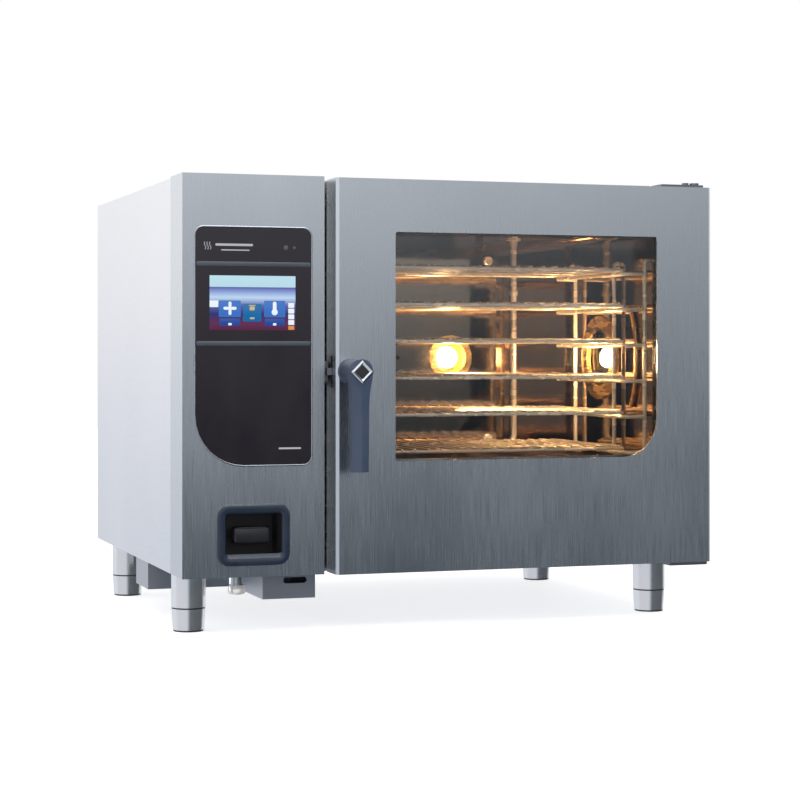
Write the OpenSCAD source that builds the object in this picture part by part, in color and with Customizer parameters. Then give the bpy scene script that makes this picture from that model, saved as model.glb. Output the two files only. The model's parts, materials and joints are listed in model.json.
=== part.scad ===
// Combi steamer oven for crosswise trays: control column on the left, glazed door hinged on the right.
// Model frame: +X to the right, +Y to the back, +Z up, origin on the floor below the middle of the box.
// The modules draw in cabinet coordinates (left face, fascia face, floor) and cabinet() moves them there.

/* [Cabinet] */
// Width over the closed door
body_w = 987; // [920:1:1200]
// Depth from the fascia's face to the back of the rear panel
body_d = 810; // [780:1:980]
// Height from the floor to the top of the fascia
body_h = 790; // [770:1:950]
// Height of the casing's underside above the floor
leg_h = 100; // [95:1:125]
// Sheet thickness of the outer casing
sheet = 1.5; // [1:0.1:2.5]
// Width of the control column
column_w = 251; // [235:1:305]
// Depth to which the fascia wraps round the side and the top
wrap_d = 95; // [60:1:130]
// Sheet thickness of the fascia
fascia_t = 2; // [1.5:0.1:3]
// Drop of the top cover below the top of the fascia
cover_drop = 3; // [2.5:0.5:6]
// Depth of the folded lip round the top cover
lip = 10; // [6:1:20]
// Inset of the right side panel behind the door's edge
side_inset = 2; // [1:0.5:10]

/* [Cooking chamber] */
// Space between the control column and the chamber
left_wall = 39; // [36:1:60]
// Space between the chamber and the door's right edge
right_wall = 81; // [70:1:110]
// Space between the casing's underside and the chamber
floor_h = 162; // [140:1:200]
// Space between the chamber and the top of the fascia
roof_h = 74; // [60:1:110]
// Inside depth of the chamber
cavity_d = 544; // [500:1:600]
// Corner radius of the chamber
cavity_r = 18; // [8:1:30]
// Thickness of the heat insulation
wool = 30; // [20:1:31]
// Number of shelves
shelf_count = 6; // [6]
// Height from one shelf to the next
shelf_pitch = 66.6; // [55:0.1:70]
// Height of the lowest shelf above the chamber's floor
shelf_low = 43; // [38:1:60]
// Depth of a shelf
shelf_d = 325; // [280:1:354]
// Room for the wire racks at each end of a shelf
rack_room = 43; // [38:1:60]
// Radius of the wire round a shelf
rim_r = 3.5; // [2.5:0.1:4.5]
// Pitch of the wires across a shelf
wire_pitch = 25.2; // [20:0.1:40]

/* [Door] */
// Gap between the control column and the door
door_gap = 16.4; // [8:0.1:24]
// Distance by which the door stands in front of the fascia
door_proud = 18; // [10:1:24]
// Thickness of the door
door_t = 60; // [56:1:66]
// Gap between the back of the door and the chamber's frame
door_clear = 12; // [11:1:20]
// Bevel along the door's upright edges
door_bevel = 5; // [2:0.5:8]
// Width of the door's stile on the handle side
stile_left = 107.6; // [95:1:140]
// Width of the door's stile on the hinge side
stile_right = 110.2; // [95:1:140]
// Height of the rail below the window
rail_low = 195; // [165:1:220]
// Height of the rail above the window
rail_high = 92.5; // [70:1:110]
// Radius of the window's large lower corner
window_curve = 70; // [20:1:100]
// Distance of the hinge axis from the door's right edge
hinge_in = 27; // [22:1:30]
// Radius of the hinge pins
pin_r = 6; // [4:0.5:7]
// Running clearance of pins, shafts and axles, on the radius
run_c = 0.05; // [0.02:0.01:0.09]

/* [Handle] */
// Height of the handle's axis above the floor
handle_z = 451.5; // [380:1:560]
// Distance of the handle's axis from the door's left edge
handle_in = 24.6; // [22:0.1:40]
// Reach of the handle in front of the door
handle_out = 75; // [60:1:90]
// Length of the lever below its axis
lever_len = 171; // [130:1:200]
// Width of the lever
lever_w = 33; // [26:1:38]

/* [Control panel] */
// Distance of the glass from the column's left edge
glass_x = 23; // [16:1:30]
// Width of the glass
glass_w = 203.5; // [180:0.5:210]
// Height of the glass
glass_h = 406; // [340:1:410]
// Distance of the glass below the top of the fascia
glass_drop = 92; // [40:1:110]
// Small corner radius of the glass
glass_r = 14; // [4:1:20]
// Radius of the large lower left corner
glass_curve = 85; // [20:1:95]
// Width of the screen
screen_w = 151.5; // [140:0.5:160]
// Height of the screen
screen_h = 93.4; // [80:0.1:100]

/* [Hand shower] */
// Width of the shower's recess
recess_w = 98.7; // [80:0.1:110]
// Height of the shower's recess
recess_h = 76; // [60:1:80]
// Depth of the shower's recess
recess_d = 60; // [50:1:80]
// Height of the recess's middle above the floor
recess_z = 172; // [160:1:200]
// Width of the border round the recess
bezel_w = 14.5; // [8:0.5:18]

/* [Feet] */
// Radius of a foot's sleeve
foot_r = 30; // [24:1:34]
// Distance of the feet from the left face
foot_x = 32; // [31.8:0.1:50]
// Distance of the feet on the hinge side from the body's right edge
foot_right = 73; // [60:1:90]
// Distance of the front feet behind the fascia
foot_y = 95; // [92:1:110]
// Distance of the rear feet in front of the rear panel's back
foot_back = 160; // [60:1:200]
// Height of the joint between a foot's sleeve and its cup
foot_split = 42; // [30:1:50]

/* [Hidden] */
$fn = 64;
eps = 1;
stub_len = 30;
total_d = door_proud + handle_out + body_d + stub_len;

// Casing
side_x = body_w - side_inset;
cover_z = body_h - cover_drop;
panel_z = cover_z - lip;
tray_z = leg_h + sheet;
rear_y = body_d - sheet;
face_y = door_t - door_proud + door_clear;
frame_y = face_y + fascia_t;
partition_x = column_w + 2.5;

// Cooking chamber
cavity_x0 = column_w + left_wall;
cavity_x1 = body_w - right_wall;
cavity_z0 = leg_h + floor_h;
cavity_z1 = body_h - roof_h;
cavity_w = cavity_x1 - cavity_x0;
cavity_h = cavity_z1 - cavity_z0;
back_y = frame_y + cavity_d;
liner_t = 1.5;
wool_y = back_y + liner_t;
shelf_x0 = cavity_x0 + rack_room;
shelf_x1 = cavity_x1 - rack_room;
shelf_y = face_y + 34;
wire_r = 1.5;
rail_r = 3.5;
upright_r = 4;
upright_off = 10;
slide_gap = 0.3;
rack_ys = [shelf_y - 14, shelf_y + 123, shelf_y + 310];

// Fan, heater and lamps
fan_x = cavity_x0 + 180;
fan_z = cavity_z0 + 212;
fan_r = 100;
fan_y = back_y - 95;
fan_w = 62;
shaft_r = 6;
baffle_y = back_y - 130;
baffle_w = 452;
baffle_t = 22;
baffle_z = cavity_z0 + 28;
baffle_h = cavity_h - 54;
flange_y = wool_y + wool + 6;
motor_r = 62;
pillar_r = 6;
pillar_off = 62;
coil_r = 125;
coil_wire = 4;
lead_off = 15;
lead_z = fan_z + sqrt(coil_r * coil_r - lead_off * lead_off);
lamp_z = fan_z;
side_lamp_y = face_y + 246;
side_lamp_r = 60;
back_lamp_x = fan_x + 183;
back_lamp_r = 36;
bezel_t = 4;
steam_r = 12;
steam_y = baffle_y - 40;
steam_z = cavity_z1 - 76;
drain_x = cavity_x0 + 308;
drain_y = face_y + 276;
drain_z = leg_h + 50;
drain_r = 25;
vent_x = cavity_x1 - 106;
vent_y = back_y - 60;

// Door
door_x0 = column_w + door_gap;
door_x1 = body_w;
door_z0 = leg_h;
door_z1 = body_h - cover_drop + 0.5;
door_front = -door_proud;
door_back = door_t - door_proud;
window_x0 = door_x0 + stile_left;
window_x1 = door_x1 - stile_right;
window_z0 = door_z0 + rail_low;
window_z1 = door_z1 - rail_high;
window_w = window_x1 - window_x0;
window_h = window_z1 - window_z0;
glass_t = 5;
pocket_grow = 20;
pocket_right = 28;
lip_right = 22;
pocket_d = 14;
pane_c = 1.5;
pane_t = 6;
pane_y = door_back - 10;
pivot_r = 4;
pivot_pin = 3;
pivot_x = window_x1 + pocket_right - pivot_r - 0.8;
hinge_x = body_w - hinge_in;
bush_r = pin_r + 4;
bush_len = 20;
plate_lift = 0.5;

// Handle and latch
handle_x = door_x0 + handle_in;
neck_r = 20;
shaft_out = 7;
cam_y = 8;
cam_t = 8;
cam_len = 34;
badge_w = 40;
badge_t = 5;
grip_back = door_front - handle_out + 30;
grip_front = door_front - handle_out + badge_t;
blade_top = 62;

// Control panel
glass_z = body_h - glass_drop - glass_h;
glass_radii = [glass_curve, glass_r, glass_r, glass_r];
trim_w = 3;
fit_c = 0.3;
screen_x = glass_x + 24;
screen_z = glass_z + 230.6;
rib_h = 8;
rib_zs = [glass_z + 204, glass_z + 340];

// Hand shower
recess_x = column_w / 2 - 1;
recess_t = 2;
hose_r = 8;
hose_coil = 60;
reel_flange = 80;
reel_w = 50;
reel_y = recess_d + 145;
reel_z = recess_z + hose_coil + hose_r + 0.5;
axle_r = 8;

// Machine space and connections at the back
rail_w = 40;
rail_h = 30;
boiler_x = column_w / 2;
boiler_y = reel_y + reel_flange + 110;
boiler_r = 85;
boiler_z = tray_z + rail_h + 4;
boiler_h = 300;
louvre_x = 60;
louvre_w = 110;
louvre_z = body_h - 280;
inlet_xs = [60, 120];
inlet_z = leg_h + 60;
inlet_r = 13.2;
gland_x = 60;
gland_z = leg_h + 130;
gland_r = 12.2;
groove = 1.5;
vent_len = 25;

// Boxes and stub below the casing
box_z = 46;
drain_box_x = column_w - 80;
drain_box_y = 117;
drain_box_w = 97;
drain_box_l = 170;
filter_x = 9;
filter_y = 333;
filter_w = 154;
filter_l = 112;
stub_y = 120;
stub_z = 57;
stub_r = 10.3;

// Feet: front left, front right, rear left, rear right
feet = [[foot_x, foot_y], [body_w - foot_right, foot_y],
    [foot_x, body_d - foot_back], [body_w - foot_right, body_d - foot_back]];
stem_r = 8;

// Moves a piece from cabinet coordinates into the model frame
module cabinet()
    translate([-body_w / 2, -total_d / 2 + door_proud + handle_out, 0]) children();

// Draws an XZ outline from y onwards, t thick
module upright(y, t)
    translate([0, y + t, 0]) rotate([90, 0, 0]) linear_extrude(t) children();

// Draws a YZ outline from x onwards, t thick
module sideways(x, t)
    translate([x, 0, 0]) rotate([90, 0, 90]) linear_extrude(t) children();

// Draws an XY outline from z onwards, t thick
module level(z, t)
    translate([0, 0, z]) linear_extrude(t) children();

module rod_x(x, y, z, r, len) translate([x, y, z]) rotate([0, 90, 0]) cylinder(h = len, r = r);
module rod_y(x, y, z, r, len) translate([x, y, z]) rotate([-90, 0, 0]) cylinder(h = len, r = r);
module rod_z(x, y, z, r, len) translate([x, y, z]) cylinder(h = len, r = r);

// What a round corner takes off a square one
module corner_waste(r)
    difference() {
        translate([-eps, -eps]) square([r + eps, r + eps]);
        translate([r, r]) circle(r);
    }

// Rectangle with its own radius at each corner: low left, low right, high right, high left
module plate(x, z, w, h, radii)
    translate([x, z]) difference() {
        square([w, h]);
        corner_waste(radii[0]);
        translate([w, 0]) mirror([1, 0]) corner_waste(radii[1]);
        translate([w, h]) rotate(180) corner_waste(radii[2]);
        translate([0, h]) mirror([0, 1]) corner_waste(radii[3]);
    }

// The same rectangle made larger all round by g
module grown(x, z, w, h, radii, g)
    plate(x - g, z - g, w + 2 * g, h + 2 * g, [for (r = radii) r + g]);

module opening(g) grown(cavity_x0, cavity_z0, cavity_w, cavity_h, [for (i = [0:3]) cavity_r], g);
module window(g) grown(window_x0, window_z0, window_w, window_h, [4, window_curve, 4, 4], g);
module panel_glass(g) grown(glass_x, glass_z, glass_w, glass_h, glass_radii, g);
module recess(g)
    grown(recess_x - recess_w / 2, recess_z - recess_h / 2, recess_w, recess_h, [6, 6, 6, 6], g);
module pocket(g)
    plate(window_x0 - pocket_grow - g, window_z0 - pocket_grow - g,
        window_w + pocket_grow + pocket_right + 2 * g, window_h + 2 * (pocket_grow + g), [4, 4, 4, 4]);

// Casing -------------------------------------------------------------------------------------------

module base_tray()
    cabinet() color("silver") difference() {
        union() {
            translate([fascia_t, fascia_t, leg_h]) cube([column_w - 2 * fascia_t, wrap_d - fascia_t, sheet]);
            translate([fascia_t, frame_y, leg_h])
                cube([side_x - sheet - fascia_t, rear_y - frame_y, sheet]);
            translate([sheet, wrap_d, leg_h]) cube([fascia_t, rear_y - wrap_d, sheet]);
            translate([sheet, rear_y - sheet, leg_h]) cube([side_x - 2 * sheet, sheet, 20]);
        }
        for (p = feet) rod_z(p[0], p[1], leg_h - eps, stem_r + 1, sheet + 2 * eps);
        rod_z(recess_x, stub_y, leg_h - eps, stub_r + 0.2, sheet + 2 * eps);
    }

// Two foot rails and the two cross plates that carry the chamber
module base_rails()
    cabinet() color("lightsteelblue") {
        for (x = [foot_x, body_w - foot_right])
            difference() {
                translate([x - rail_w / 2, foot_y - 30, tray_z])
                    cube([rail_w, body_d - foot_back - foot_y + 60, rail_h]);
                translate([x - rail_w / 2 + 2, foot_y - 30 - eps, tray_z + 2])
                    cube([rail_w - 4, body_d - foot_back - foot_y + 60 + 2 * eps, rail_h]);
                for (p = feet) rod_z(p[0], p[1], tray_z - eps, stem_r + 1, 4);
            }
        for (y = [frame_y + 94, back_y - 80])
            difference() {
                translate([partition_x + sheet, y, tray_z])
                    cube([side_x - partition_x - 2 * sheet, 3, cavity_z0 - liner_t - wool - tray_z]);
                translate([body_w - foot_right - rail_w / 2 - 1, y - eps, tray_z - eps])
                    cube([rail_w + 2, 3 + 2 * eps, rail_h + 2]);
                rod_y(drain_x, y - eps, drain_z, drain_r + 2, 3 + 2 * eps);
                for (i = [1, 3, 4])
                    rod_y(partition_x + 115 * i, y - eps, tray_z + 70, 32, 3 + 2 * eps);
            }
    }

module left_side_panel()
    cabinet() color("gainsboro")
        translate([0, wrap_d, leg_h]) cube([sheet, rear_y - wrap_d, panel_z - leg_h]);

module right_side_panel()
    cabinet() color("gainsboro")
        translate([side_x - sheet, face_y, leg_h]) cube([sheet, rear_y - face_y, panel_z - leg_h]);

module rear_panel()
    cabinet() color("silver") difference() {
        translate([0, rear_y, leg_h]) cube([side_x, sheet, panel_z - leg_h]);
        for (i = [0:7])
            upright(rear_y - eps, sheet + 2 * eps)
                plate(louvre_x, louvre_z + 16 * i, louvre_w, 6, [2.9, 2.9, 2.9, 2.9]);
        rod_y(drain_x, rear_y - eps, drain_z, drain_r + 0.5, sheet + 2 * eps);
        for (x = inlet_xs) rod_y(x, rear_y - eps, inlet_z, inlet_r + 0.5, sheet + 2 * eps);
        rod_y(gland_x, rear_y - eps, gland_z, gland_r + fit_c, sheet + 2 * eps);
    }

module top_cover()
    cabinet() color("gainsboro") difference() {
        union() {
            translate([0, wrap_d, cover_z - sheet]) cube([side_x, body_d - wrap_d, sheet]);
            translate([column_w, face_y, cover_z - sheet])
                cube([side_x - column_w, wrap_d - face_y, sheet]);
            translate([0, wrap_d, panel_z]) cube([sheet, body_d - wrap_d, lip]);
            translate([side_x - sheet, face_y, panel_z]) cube([sheet, body_d - face_y, lip]);
            translate([0, rear_y, panel_z]) cube([side_x, sheet, lip]);
        }
        rod_z(vent_x, vent_y, cover_z - sheet - eps, drain_r + 0.5, sheet + 2 * eps);
    }

// Front and wrapped edges of the control column
module control_fascia()
    cabinet() color("silver") difference() {
        union() {
            translate([0, 0, leg_h]) cube([column_w, fascia_t, body_h - leg_h]);
            translate([0, 0, leg_h]) cube([fascia_t, wrap_d, body_h - leg_h]);
            translate([0, 0, body_h - fascia_t]) cube([column_w, wrap_d, fascia_t]);
            translate([0, wrap_d - fascia_t, cover_z - sheet])
                cube([column_w, fascia_t, cover_drop + sheet]);
            translate([column_w - fascia_t, 0, leg_h]) cube([fascia_t, frame_y, body_h - leg_h]);
        }
        upright(-eps, fascia_t + 2 * eps) panel_glass(fit_c);
        upright(-eps, fascia_t + 2 * eps) recess(recess_t);
    }

// Wall beside the chamber, with the axle of the hose reel
module partition_wall()
    cabinet() color("lightgray") {
        difference() {
            translate([partition_x, frame_y, tray_z])
                cube([sheet, rear_y - sheet - frame_y, cover_z - sheet - tray_z]);
            rod_x(partition_x - eps, steam_y, steam_z, steam_r + 0.5, sheet + 2 * eps);
        }
        rod_x(recess_x - reel_w / 2 - 12, reel_y, reel_z, axle_r,
            partition_x + sheet / 2 - recess_x + reel_w / 2 + 12);
    }

// Cooking chamber ----------------------------------------------------------------------------------

module face_frame()
    cabinet() color("silver") upright(face_y, fascia_t) difference() {
        translate([column_w, leg_h]) square([side_x - sheet - column_w, cover_z - sheet - leg_h]);
        opening(0);
    }

module cavity_liner()
    cabinet() color("lightgoldenrodyellow") difference() {
        union() {
            upright(frame_y, cavity_d + liner_t) difference() {
                opening(liner_t);
                opening(0);
            }
            upright(back_y, liner_t) opening(liner_t / 2);
        }
        rod_y(fan_x, back_y - eps, fan_z, shaft_r + 1, liner_t + 2 * eps);
        for (s = [-1, 1])
            rod_y(fan_x + s * lead_off, back_y - eps, lead_z, coil_wire + 1.5, liner_t + 2 * eps);
        rod_x(cavity_x1 - eps, side_lamp_y, lamp_z, side_lamp_r - 2, liner_t + 2 * eps);
        rod_x(cavity_x0 - liner_t - eps, steam_y, steam_z, steam_r, liner_t + 2 * eps);
        rod_z(drain_x, drain_y, cavity_z0 - liner_t - eps, drain_r - 2, liner_t + 2 * eps);
        rod_z(vent_x, vent_y, cavity_z1 - eps, drain_r - 2, liner_t + 2 * eps);
    }

// Mineral wool below, above, beside and behind the chamber
module insulation_slabs()
    cabinet() color("khaki") {
        difference() {
            translate([cavity_x0 - liner_t, frame_y + 2, cavity_z0 - liner_t - wool])
                cube([cavity_w + 2 * liner_t, cavity_d - 2, wool]);
            rod_z(drain_x, drain_y, cavity_z0 - liner_t - wool - eps, drain_r + 1, wool + 2 * eps);
        }
        difference() {
            translate([cavity_x0 - liner_t, frame_y + 2, cavity_z1 + liner_t])
                cube([cavity_w + 2 * liner_t, cavity_d - 2, wool]);
            rod_z(vent_x, vent_y, cavity_z1 + liner_t - eps, drain_r + 1, wool + 2 * eps);
        }
        difference() {
            translate([cavity_x0 - liner_t - wool - 0.5, frame_y + 2, cavity_z0 - liner_t])
                cube([wool, cavity_d - 2, cavity_h + 2 * liner_t]);
            rod_x(cavity_x0 - liner_t - wool - eps, steam_y, steam_z, steam_r + 1, wool + 2 * eps);
        }
        difference() {
            translate([cavity_x1 + liner_t + 0.5, frame_y + 2, cavity_z0 - liner_t])
                cube([wool, cavity_d - 2, cavity_h + 2 * liner_t]);
            rod_x(cavity_x1 + liner_t - eps, side_lamp_y, lamp_z, side_lamp_r + 1, wool + 3 * eps);
        }
        difference() {
            translate([cavity_x0 - liner_t, wool_y + 0.5, cavity_z0 - liner_t])
                cube([cavity_w + 2 * liner_t, wool, cavity_h + 2 * liner_t]);
            rod_y(fan_x, wool_y - eps, fan_z, shaft_r + 4, wool + 3 * eps);
            for (s = [-1, 1])
                rod_y(fan_x + s * lead_off, wool_y - eps, lead_z, 7, wool + 3 * eps);
            for (sx = [-1, 1], sz = [-1, 1])
                rod_y(fan_x + sx * pillar_off, wool_y - eps, fan_z + sz * pillar_off,
                    pillar_r + 1, wool + 3 * eps);
        }
    }

module door_seal()
    cabinet() color("dimgray") upright(door_back + 0.5, door_clear - 0.5) difference() {
        opening(15);
        opening(3);
    }

// Guide plate in front of the fan, on four pillars, with a star of slots for the suction
module fan_baffle()
    cabinet() color("lightgray") {
        difference() {
            translate([cavity_x0 + 10, baffle_y, baffle_z]) cube([baffle_w, baffle_t, baffle_h]);
            translate([cavity_x0 + 10 + sheet, baffle_y + sheet, baffle_z + sheet])
                cube([baffle_w - 2 * sheet, baffle_t, baffle_h - 2 * sheet]);
            for (i = [0:15])
                translate([fan_x, 0, fan_z]) rotate([0, 22.5 * i, 0])
                    upright(baffle_y - eps, sheet + 2 * eps) plate(26, -4, 50, 8, [3.9, 3.9, 3.9, 3.9]);
            rod_y(back_lamp_x, baffle_y - eps, lamp_z, back_lamp_r - 2, sheet + 2 * eps);
        }
        for (x = [cavity_x0 + 28, cavity_x0 + baffle_w - 8], z = [baffle_z + 20, baffle_z + baffle_h - 20])
            rod_y(x, baffle_y + sheet / 2, z, 5, back_y - baffle_y - sheet / 2);
    }

function shelf_z(i) = cavity_z0 + shelf_low + (i - 1) * shelf_pitch;

// Wire rack at one end of the shelves: three uprights, a rail under each shelf, stubs to the wall
module rack(shelf_end, wall, side) {
    up_x = wall - side * upright_off;
    top_z = shelf_z(shelf_count) + 22;
    foot_z = cavity_z0 + cavity_r + 2;
    for (y = rack_ys) {
        rod_z(up_x, y, foot_z, upright_r, top_z - foot_z);
        for (z = [foot_z + 6, top_z - 8])
            rod_x(min(up_x, wall), y, z, 3, upright_off);
    }
    for (i = [1:shelf_count]) {
        z = shelf_z(i) - rim_r - slide_gap - rail_r;
        rail_x = shelf_end - side * 8;
        rod_y(rail_x, rack_ys[0] - 6, z, rail_r, rack_ys[2] - rack_ys[0] + 12);
        for (y = rack_ys) rod_x(min(rail_x, up_x), y, z, 2.5, abs(up_x - rail_x));
    }
}

module rack_left() cabinet() color("silver") rack(shelf_x0, cavity_x0, -1);
module rack_right() cabinet() color("silver") rack(shelf_x1, cavity_x1, 1);

// One wire shelf: a rim of round bar, two stays below and the wires across, ends over the front bar
module shelf(i) {
    z = shelf_z(i);
    wires = floor((shelf_x1 - shelf_x0 - 2 * rim_r) / wire_pitch);
    first = (shelf_x0 + shelf_x1 - wires * wire_pitch) / 2;
    cabinet() color("gainsboro") {
        for (y = [shelf_y, shelf_y + shelf_d]) rod_x(shelf_x0, y, z, rim_r, shelf_x1 - shelf_x0);
        for (x = [shelf_x0 + rim_r, shelf_x1 - rim_r]) rod_y(x, shelf_y, z, rim_r - 0.2, shelf_d);
        for (k = [0:wires])
            rod_y(first + k * wire_pitch, shelf_y - rim_r - 1, z + rim_r - 0.4, wire_r,
                shelf_d + 2 * rim_r + 2, $fn = 6);
        for (t = [0.34, 0.67])
            rod_x(shelf_x0 + rim_r, shelf_y + t * shelf_d, z + rim_r - 3.2, 2.2,
                shelf_x1 - shelf_x0 - 2 * rim_r);
    }
}

module heating_coil()
    cabinet() color("dimgray") {
        for (k = [0:2])
            translate([fan_x, fan_y + 12 + 20 * k, fan_z]) rotate([90, 0, 0])
                rotate_extrude() translate([coil_r, 0]) circle(coil_wire);
        for (s = [-1, 1])
            rod_y(fan_x + s * lead_off, fan_y + 12, lead_z, coil_wire + 1,
                flange_y - fan_y - 14);
    }

// Motor behind the chamber, its flange on four pillars through the insulation
module fan_motor()
    cabinet() color("slategray") difference() {
        union() {
            for (sx = [-1, 1], sz = [-1, 1])
                rod_y(fan_x + sx * pillar_off, wool_y, fan_z + sz * pillar_off, pillar_r,
                    flange_y - wool_y + 1);
            translate([fan_x - 75, flange_y, fan_z - 75]) cube([150, 4, 150]);
            rod_y(fan_x, flange_y + 3, fan_z, motor_r, 96);
            rod_y(fan_x, flange_y + 98, fan_z, motor_r - 8, 14);
            translate([fan_x - 30, flange_y + 20, fan_z + motor_r - 6]) cube([60, 55, 24]);
        }
        rod_y(fan_x, flange_y - eps, fan_z, shaft_r + run_c, 81);
    }

module fan_shaft()
    cabinet() color("silver") rod_y(fan_x, fan_y - 4, fan_z, shaft_r, flange_y + 75 - fan_y);

// Centrifugal wheel: back plate, front ring, blades and hub
module fan_wheel()
    cabinet() color("lightgray") difference() {
        union() {
            rod_y(fan_x, fan_y + fan_w - 3, fan_z, fan_r, 3);
            upright(fan_y, 2) translate([fan_x, fan_z]) difference() {
                circle(fan_r);
                circle(fan_r - 24);
            }
            for (i = [0:19])
                translate([fan_x, 0, fan_z]) rotate([0, 18 * i, 0])
                    translate([fan_r - 24, fan_y + 1, -0.75]) cube([22, fan_w - 3, 1.5]);
            rod_y(fan_x, fan_y + 8, fan_z, 16, fan_w - 9);
        }
        rod_y(fan_x, fan_y - eps, fan_z, shaft_r, fan_w + 2 * eps);
    }

// Each lamp's ring in the chamber and its pot behind the wall
module lamp_bezels()
    cabinet() color("gold") {
        sideways(cavity_x1 - bezel_t, bezel_t) translate([side_lamp_y, lamp_z]) difference() {
            circle(side_lamp_r + 22);
            circle(side_lamp_r - 4);
        }
        difference() {
            rod_x(cavity_x1 + liner_t, side_lamp_y, lamp_z, side_lamp_r, wool);
            rod_x(cavity_x1 + liner_t - eps, side_lamp_y, lamp_z, side_lamp_r - 2, wool - 1);
        }
        upright(baffle_y - bezel_t, bezel_t) translate([back_lamp_x, lamp_z]) difference() {
            circle(back_lamp_r + 9);
            circle(back_lamp_r - 4);
        }
        difference() {
            rod_y(back_lamp_x, baffle_y + sheet, lamp_z, back_lamp_r, 34);
            rod_y(back_lamp_x, baffle_y + sheet - eps, lamp_z, back_lamp_r - 2, 33);
        }
    }

// Flat glass of each lamp, in the hole behind its ring
module lamp_glasses()
    cabinet() color("lemonchiffon") {
        rod_x(cavity_x1, side_lamp_y, lamp_z, side_lamp_r - 2.3, 4);
        rod_y(back_lamp_x, baffle_y, lamp_z, back_lamp_r - 2.3, 4);
    }

// Machine space ------------------------------------------------------------------------------------

module steam_generator()
    cabinet() color("lightslategray") {
        rod_z(boiler_x, boiler_y, boiler_z, boiler_r, boiler_h);
        rod_z(boiler_x, boiler_y, boiler_z + boiler_h - 1, boiler_r - 30, 16);
        for (i = [0:2])
            translate([boiler_x, boiler_y, 0]) rotate(120 * i)
                rod_z(boiler_r - 18, 0, tray_z, 7, boiler_z - tray_z + 1);
        rod_z(boiler_x, boiler_y, boiler_z + boiler_h + 14, steam_r + 4,
            steam_z - steam_r - 4 - boiler_z - boiler_h - 14);
    }

// Steam pipe from the generator's dome to the chamber: riser, elbow box and cross pipe
module steam_pipe()
    cabinet() color("silver") {
        rod_z(boiler_x, boiler_y, steam_z - steam_r - 4, steam_r, steam_r + 4);
        translate([boiler_x, boiler_y, steam_z]) sphere(steam_r);
        rod_y(boiler_x, min(boiler_y, steam_y), steam_z, steam_r, abs(steam_y - boiler_y));
        translate([boiler_x, steam_y, steam_z]) sphere(steam_r);
        rod_x(boiler_x, steam_y, steam_z, steam_r, cavity_x0 + 6 - boiler_x);
    }

module control_glass()
    cabinet() color([0.10, 0.09, 0.11]) upright(-1.2, fascia_t + 1.2) panel_glass(0);

module control_trim()
    cabinet() color("gainsboro") upright(-1.8, 1.8) difference() {
        panel_glass(trim_w);
        panel_glass(fit_c);
    }

module panel_ribs()
    cabinet() color("slategray")
        for (z = rib_zs) translate([glass_x, -3, z]) cube([glass_w, 1.8, rib_h]);

// Display module behind the glass
module touch_display()
    cabinet() color("steelblue")
        translate([screen_x - 6, fascia_t, screen_z - 6]) cube([screen_w + 12, 18, screen_h + 12]);

// Circuit board on four posts behind the fascia, with its larger components
module control_board()
    cabinet() color("darkgreen") {
        board_y = fascia_t + 42;
        translate([6, board_y, glass_z + 40]) cube([column_w - 14, 1.6, 320]);
        for (x = [12, column_w - 13], z = [glass_z + 50, glass_z + 350])
            rod_y(x, fascia_t, z, 3.5, board_y - fascia_t + 0.5);
        for (i = [0:3])
            translate([30 + 48 * i, board_y + 1, glass_z + 80]) cube([34, 12, 40]);
        translate([50, board_y + 1, glass_z + 200]) cube([120, 22, 70]);
    }

// Mounting rail on the partition with four contactors
module contactor_rail()
    cabinet() color("darkslategray") {
        translate([partition_x - 7.5, boiler_y + 120, leg_h + 350]) cube([7.5, 210, 35]);
        for (i = [0:3])
            translate([partition_x - 60, boiler_y + 126 + 51 * i, leg_h + 325]) cube([53, 45, 85]);
    }

module shower_bezel()
    cabinet() color([0.18, 0.23, 0.30]) upright(-5, 5) difference() {
        grown(recess_x - recess_w / 2, recess_z - recess_h / 2, recess_w, recess_h,
            [6, 6, 6, 6], bezel_w);
        recess(0);
    }

module shower_cup()
    cabinet() color([0.14, 0.13, 0.14]) difference() {
        upright(0, recess_d + recess_t) recess(recess_t - 0.3);
        upright(-eps, recess_d + eps) recess(0);
        rod_y(recess_x, recess_d - eps, recess_z, hose_r + 1.5, recess_t + 2 * eps);
    }

// Grip of the hand shower, with the straight run of its hose to the reel
module shower_head()
    cabinet() color([0.10, 0.10, 0.11]) {
        upright(16, 18) plate(recess_x - 33, recess_z - 15, 66, 27, [5, 5, 5, 5]);
        rod_y(recess_x, 33, recess_z, hose_r, reel_y - 33);
    }

module hose_reel()
    cabinet() color("dimgray") difference() {
        union() {
            rod_x(recess_x - reel_w / 2, reel_y, reel_z, hose_coil, reel_w);
            for (x = [recess_x - reel_w / 2 - 3, recess_x + reel_w / 2])
                rod_x(x, reel_y, reel_z, reel_flange, 3);
        }
        rod_x(recess_x - reel_w / 2 - 4, reel_y, reel_z, axle_r + run_c, reel_w + 8);
    }

// Below the casing ---------------------------------------------------------------------------------

module drain_box()
    cabinet() color("silver") difference() {
        translate([drain_box_x, drain_box_y, box_z]) cube([drain_box_w, drain_box_l, leg_h - box_z]);
        translate([drain_box_x + sheet, drain_box_y + sheet, box_z + sheet])
            cube([drain_box_w - 2 * sheet, drain_box_l - 2 * sheet, leg_h - box_z]);
        upright(drain_box_y - eps, sheet + 2 * eps)
            plate(drain_box_x + 38, leg_h - 27, 43, 11, [5, 5, 5, 5]);
    }

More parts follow.
